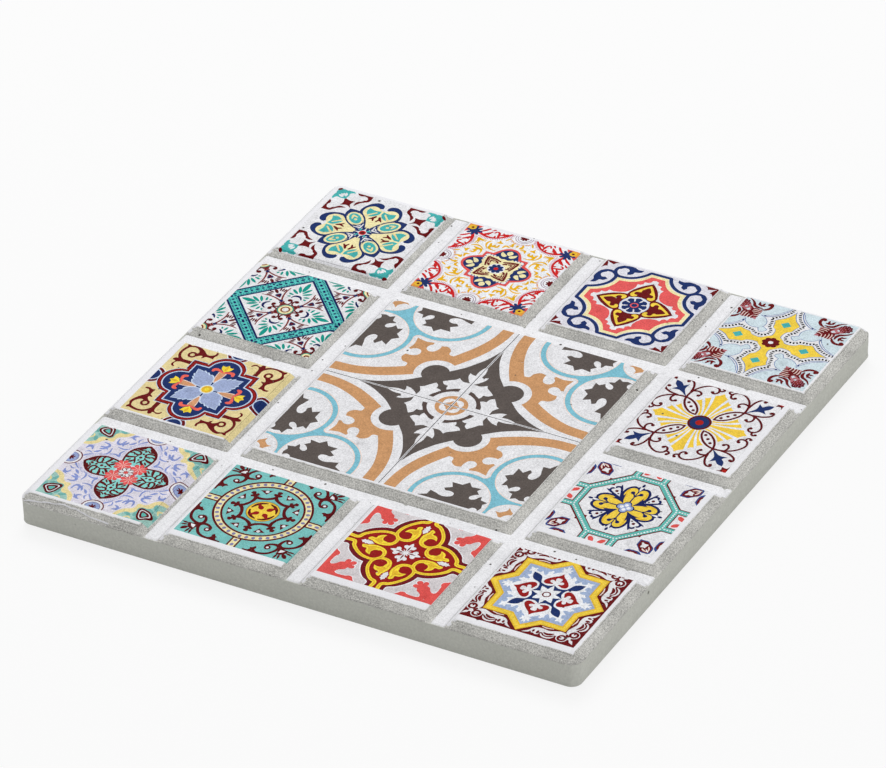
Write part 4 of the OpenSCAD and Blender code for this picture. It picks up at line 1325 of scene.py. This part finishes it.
def joint_filling():
    """The white filling: a fine grid over the slab of which only the cells between the tiles are
    kept, its height a gentle noise with pinholes pressed in, closed by walls and a flat bottom."""
    end = 99.75
    bottom = LEVEL - 0.75
    marks = [-end]
    for k in (-1, 0, 1):
        low, high = k * PITCH - GAP, k * PITCH + GAP
        marks += [*np.linspace(marks[-1], low, 48)[1:], *np.linspace(low, high, 8)[1:]]
    marks = np.array([*marks, *np.linspace(marks[-1], end, 48)[1:]])
    gx, gy = np.meshgrid(marks, marks, indexing="ij")
    middle = (marks[1:] + marks[:-1]) / 2
    in_joint = np.abs(middle[:, None] - np.array([-PITCH, 0, PITCH])).min(1) < GAP
    central = np.abs(middle) < PITCH - GAP
    cell = (in_joint[:, None] | in_joint) & ~(central[:, None] & central)
    dice = np.random.RandomState(8)
    pits = []
    while len(pits) < 90:
        px, py = dice.uniform(-98, 98, 2)
        k, m = np.searchsorted(marks, (px, py)) - 1
        if cell[k, m]:
            r = dice.uniform(0.35, 0.7)
            pits.append((px, py, r, r * 0.8))
    height = LEVEL + 0.02 + 0.05 * noise(gx, gy, 3.0, 2) + 0.03 * noise(gx, gy, 1.1, 6)
    height = height - pit_depth(gx.ravel(), gy.ravel(), pits).reshape(gx.shape)
    # The filling's ends sag where they meet the slab's edge
    edge = np.clip((np.maximum(np.abs(gx), np.abs(gy)) - 99.2) / 0.55, 0, 1)
    height = height - 0.25 * edge**2
    size = gx.size
    index = np.arange(size).reshape(gx.shape)
    i, j = np.nonzero(cell)
    a, b, c, d = index[i, j], index[i + 1, j], index[i + 1, j + 1], index[i, j + 1]
    top = np.vstack([np.stack([a, b, c], 1), np.stack([a, c, d], 1)])
    faces = np.vstack([top, wall(rim(top), size), top[:, ::-1] + size])
    points = np.vstack([np.stack([gx.ravel(), gy.ravel(), height.ravel()], 1),
                        np.stack([gx.ravel(), gy.ravel(), np.full(size, bottom)], 1)])
    hidden = np.arange(len(faces)) >= len(top)
    piece = make_mesh("joint_filling", points, faces, joint_white, flat=hidden)
    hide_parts("joint_lattice")


# Materials. The shared effects are node groups.

def feed(tree, socket, source):
    """Links an input to the socket it is fed from, or sets it to a value."""
    if isinstance(source, bpy.types.NodeSocket):
        tree.links.new(source, socket)
    else:
        socket.default_value = source


def add(tree, kind, links=None, **settings):
    """A node with its settings; links name its inputs and give what each is fed from or set to."""
    node = tree.nodes.new("ShaderNode" + kind)
    for key, value in settings.items():
        setattr(node, key, value)
    for key, source in (links or {}).items():
        feed(tree, node.inputs[key], source)
    return node


def paint(tree, share, low, high):
    """Mix of two colours, whose sockets are the colour ones of the Mix node."""
    return add(tree, "Mix", {0: share, 6: low, 7: high}, data_type="RGBA").outputs[2]


def spread(tree, value, from_low, from_high, to_low=0.0, to_high=1.0):
    """Carries a value from one range to another and holds it there."""
    node = add(tree, "MapRange", {"Value": value, "From Min": from_low, "From Max": from_high,
                                  "To Min": to_low, "To Max": to_high})
    return node.outputs["Result"]


def math(tree, operation, one, two=0.0):
    return add(tree, "Math", {0: one, 1: two}, operation=operation).outputs[0]


def noise_node(tree, where, scale, detail=2.0, rough=0.5):
    return add(tree, "TexNoise", {"Vector": where, "Scale": scale, "Detail": detail,
                                  "Roughness": rough}).outputs["Fac"]


def group(name, inputs, outputs):
    """An empty node group with a vector input, named inputs and named outputs."""
    tree = bpy.data.node_groups.new(name, "ShaderNodeTree")
    tree.interface.new_socket("Vector", in_out="INPUT", socket_type="NodeSocketVector")
    for label, kind, value in inputs:
        socket = tree.interface.new_socket(label, in_out="INPUT", socket_type="NodeSocket" + kind)
        socket.default_value = value
    for label, kind in outputs:
        tree.interface.new_socket(label, in_out="OUTPUT", socket_type="NodeSocket" + kind)
    start = tree.nodes.new("NodeGroupInput").outputs
    end = tree.nodes.new("NodeGroupOutput").inputs
    return tree, start, end


def grain_group():
    """Sand grain: fine and coarse noise brighten and darken a colour and give a height."""
    tree, start, end = group("Sand grain", [
        ("Colour", "Color", (0.8, 0.8, 0.8, 1)), ("Fine", "Float", 1600.0),
        ("Coarse", "Float", 90.0), ("Contrast", "Float", 0.2)],
        [("Colour", "Color"), ("Height", "Float")])
    fine = noise_node(tree, start["Vector"], start["Fine"], 3.0, 0.65)
    coarse = noise_node(tree, start["Vector"], start["Coarse"], 3.0, 0.55)
    slow = math(tree, "MULTIPLY", math(tree, "SUBTRACT", coarse, 0.5), 0.3)
    swing = math(tree, "ADD", math(tree, "SUBTRACT", fine, 0.5), slow)
    gain = math(tree, "ADD", math(tree, "MULTIPLY", swing, start["Contrast"]), 1.0)
    scaled = add(tree, "VectorMath", {0: start["Colour"], "Scale": gain}, operation="SCALE")
    feed(tree, end["Colour"], scaled.outputs[0])
    feed(tree, end["Height"], fine)
    return tree


def pinhole_group():
    """Pinholes: a small dark spot near the middle of some Voronoi cells, as a mask."""
    tree, start, end = group("Pinholes", [
        ("Cells", "Float", 220.0), ("Size", "Float", 0.12), ("Share", "Float", 0.3)],
        [("Mask", "Float")])
    cells = add(tree, "TexVoronoi", {"Vector": start["Vector"], "Scale": start["Cells"]})
    pick = add(tree, "SeparateColor", {"Color": cells.outputs["Color"]})
    chosen = math(tree, "LESS_THAN", pick.outputs[0], start["Share"])
    size = math(tree, "MULTIPLY", start["Size"], math(tree, "ADD", pick.outputs[1], 0.4))
    spot = math(tree, "SUBTRACT", 1.0, math(tree, "DIVIDE", cells.outputs["Distance"], size))
    spot = math(tree, "MULTIPLY", math(tree, "MAXIMUM", spot, 0.0), 2.5)
    feed(tree, end["Mask"], math(tree, "MULTIPLY", math(tree, "MINIMUM", spot, 1.0), chosen))
    return tree


sand_grain = grain_group()
pinholes = pinhole_group()


def place(tree, kind, where, **values):
    """One of the shared groups in a material, with its own values."""
    node = tree.nodes.new("ShaderNodeGroup")
    node.node_tree = kind
    for label, value in {"Vector": where, **values}.items():
        feed(tree, node.inputs[label], value)
    return node.outputs


def rgba(shade):
    return (*linear(shade), 1.0)


def attribute(tree, name):
    return add(tree, "Attribute", attribute_name=name).outputs


def pierced(tree, where, base, height, shade, depth, **values):
    """A surface's colour with pinholes in a dark shade, and its height less their depth."""
    mask = place(tree, pinholes, where, **values)["Mask"]
    height = math(tree, "SUBTRACT", height, math(tree, "MULTIPLY", mask, depth))
    return paint(tree, mask, base, rgba(shade)), height


def finish_material(name, build):
    """A material on Object coordinates; build gives its colour, roughness, height and bump depth."""
    material = bpy.data.materials.new(name)
    material.use_nodes = True
    tree = material.node_tree
    where = add(tree, "TexCoord").outputs["Object"]
    colour, rough, height, depth = build(tree, where)
    bump = add(tree, "Bump", {"Height": height, "Distance": depth, "Strength": 1.0})
    shader = tree.nodes["Principled BSDF"]
    for label, source in (("Base Color", colour), ("Roughness", rough), ("Normal", bump.outputs[0]),
                          ("Specular IOR Level", 0.06)):
        feed(tree, shader.inputs[label], source)
    return material


def cement_surface(tree, where):
    """Bare sandy cement and white coat as the coat attribute says, and ink over them. Where the
    coat attribute carries painted light, the white is painted light on the flanks that face it
    and the grey bare cement is painted shade on the others and at the flanks' foot.
    """
    ragged = math(tree, "MULTIPLY", noise_node(tree, where, 900.0), 0.6)
    coat = spread(tree, math(tree, "ADD", attribute(tree, "coat")["Fac"], ragged), 0.65, 0.95)
    # Grey bare cement: partly its own colour, partly painted shade where the coat attribute is low, on
    # flanks facing away from the light and at their foot
    bare_shaded = place(tree, sand_grain, where, Colour=rgba((200, 199, 194)), Fine=2300.0, Contrast=2.4)
    white = place(tree, sand_grain, where, Colour=rgba((237, 237, 241)), Fine=2100.0, Contrast=0.4)
    base = paint(tree, coat, bare_shaded["Colour"], white["Colour"])
    ink = attribute(tree, "ink")
    fleck = spread(tree, noise_node(tree, where, 1900.0, 2.0, 0.6), 0.26, 0.36, 0.93, 1.0)
    cover = math(tree, "MULTIPLY", fleck, ink["Alpha"])
    shade = place(tree, sand_grain, where, Colour=ink["Color"], Fine=2200.0, Coarse=260.0, Contrast=1.2)
    base = paint(tree, cover, base, shade["Colour"])
    return pierced(tree, where, base, bare_shaded["Height"], (84, 80, 76), 2.0,
                   Cells=210.0, Size=0.085, Share=0.22)


def build_print(tree, where):
    base, height = cement_surface(tree, where)
    return base, spread(tree, height, 0.2, 0.8, 0.62, 0.78), height, 0.00006


def build_block(tree, where):
    base, height = cement_surface(tree, where)
    return base, 0.9, height, 0.00020


def build_joint(tree, where):
    white = place(tree, sand_grain, where, Colour=rgba((240, 240, 243)), Fine=2100.0, Contrast=0.8)
    base, height = pierced(tree, where, white["Colour"], white["Height"], (104, 99, 94), 2.0,
                           Cells=280.0, Size=0.10, Share=0.75)
    return base, 0.85, height, 0.00018


def build_slab(tree, where):
    """Smooth cast cement, with white coat over its top edge as the coat attribute says."""
    cast = place(tree, sand_grain, where, Colour=rgba((203, 204, 196)), Fine=1100.0, Coarse=60.0,
                 Contrast=0.4)
    base, height = pierced(tree, where, cast["Colour"], cast["Height"], (120, 120, 112), 1.5,
                           Cells=150.0, Size=0.10, Share=0.22)
    spill = math(tree, "ADD", attribute(tree, "coat")["Fac"], noise_node(tree, where, 420.0, 3.0))
    base = paint(tree, spread(tree, spill, 0.8, 1.0), base, rgba((236, 236, 234)))
    return base, 0.8, height, 0.00010


def build_pad(tree, where):
    foam = place(tree, sand_grain, where, Colour=rgba((74, 75, 78)), Fine=2200.0, Contrast=0.9)
    return foam["Colour"], 0.95, foam["Height"], 0.00020


printed_coat = finish_material("Ink on white coat", build_print)
tile_cement = finish_material("Cement flank", build_block)
joint_white = finish_material("White joint filling", build_joint)
slab_cement = finish_material("Cast cement", build_slab)
pad_foam = finish_material("Foam pad", build_pad)


# The trivet

cast_slab()
joint_filling()
for seed, tile in enumerate(TILES, 1):
    printed_tile(*tile, seed)

for node in frame["nodes"].values():
    if node.name.startswith("foot_pads"):
        node.data.materials.clear()
        node.data.materials.append(pad_foam)


# Floor, light and camera

def bare_tree(owner):
    """The emptied node tree of a material or world."""
    owner.use_nodes = True
    owner.node_tree.nodes.clear()
    return owner.node_tree


def seen_directly(tree):
    """1 for rays that come from the camera or by a mirror or glass, and 0 for those of the light."""
    rays = add(tree, "LightPath").outputs
    direct = math(tree, "MAXIMUM", rays["Is Camera Ray"], rays["Is Glossy Ray"])
    return math(tree, "MAXIMUM", direct, rays["Is Transmission Ray"])


def studio_floor():
    """A wide plain floor. The camera sees it nearly white and it keeps the shadow."""
    mesh = bpy.data.meshes.new("studio_floor")
    side, z = 3, -2e-4
    corners = [(-side, -side, z), (side, -side, z), (side, side, z), (-side, side, z)]
    mesh.from_pydata(corners, [], [(0, 1, 2, 3)])
    floor = bpy.data.objects.new("studio_floor", mesh)
    bpy.context.scene.collection.objects.link(floor)
    material = bpy.data.materials.new("Pale floor")
    tree = bare_tree(material)
    matt = add(tree, "BsdfDiffuse", {"Color": (0.80, 0.80, 0.80, 1)})
    bright = add(tree, "Emission", {"Color": (1, 1, 1, 1), "Strength": 1.0})
    both = add(tree, "MixShader", {0: math(tree, "MULTIPLY", seen_directly(tree), 0.85),
                                   1: matt.outputs[0], 2: bright.outputs[0]})
    add(tree, "OutputMaterial", {"Surface": both.outputs[0]})
    mesh.materials.append(material)


def studio_world(strength):
    """A white world: it lights the scene with the given strength and looks plain white."""
    world = bpy.data.worlds.new("Studio")
    bpy.context.scene.world = world
    tree = bare_tree(world)
    soft = add(tree, "Background", {"Color": (1, 1, 1, 1), "Strength": strength})
    plain = add(tree, "Background", {"Color": (1, 1, 1, 1), "Strength": 1.0})
    both = add(tree, "MixShader", {0: seen_directly(tree), 1: soft.outputs[0], 2: plain.outputs[0]})
    add(tree, "OutputWorld", {"Surface": both.outputs[0]})


def softbox(name, spot, size, power):
    """A square area lamp that faces the trivet."""
    data = bpy.data.lights.new(name, "AREA")
    data.shape = "SQUARE"
    data.size = size
    data.energy = power
    lamp = bpy.data.objects.new(name, data)
    lamp.location = spot
    lamp.rotation_euler = (-Vector(spot)).to_track_quat("-Z", "Y").to_euler()
    bpy.context.scene.collection.objects.link(lamp)


def photo_camera():
    """The photograph's view, fitted to it: azimuth and height of the eye, a small tilt to the
    side, the point in the middle of the picture and the distance to it, in metres."""
    az, el, roll = np.radians([31.032, 34.563, -3.026])
    target = np.array([-0.012204, 0.016765, 0.007533])
    distance = 2.2964
    right = np.array([np.cos(az), np.sin(az), 0])
    back = np.array([np.sin(az) * np.cos(el), -np.cos(az) * np.cos(el), np.sin(el)])
    up = np.cross(back, right)
    side = right * np.cos(roll) + up * np.sin(roll)
    rise = up * np.cos(roll) - right * np.sin(roll)
    data = bpy.data.cameras.new("Camera")
    data.sensor_width = 36.0
    data.lens = 291.52
    data.clip_start = 0.1
    data.clip_end = 20.0
    camera = bpy.data.objects.new("Camera", data)
    bpy.context.scene.collection.objects.link(camera)
    turn = Matrix(np.column_stack([side, rise, back]).tolist()).to_4x4()
    camera.matrix_world = Matrix.Translation(target + distance * back) @ turn
    bpy.context.scene.camera = camera


studio_floor()
studio_world(0.50)
softbox("Key light", (-0.55, 1.0, 1.7), 1.2, 22.5)
softbox("Side light", (1.9, 0.2, 0.9), 1.0, 6.0)
photo_camera()

bpy.context.scene.view_settings.view_transform = "Standard"
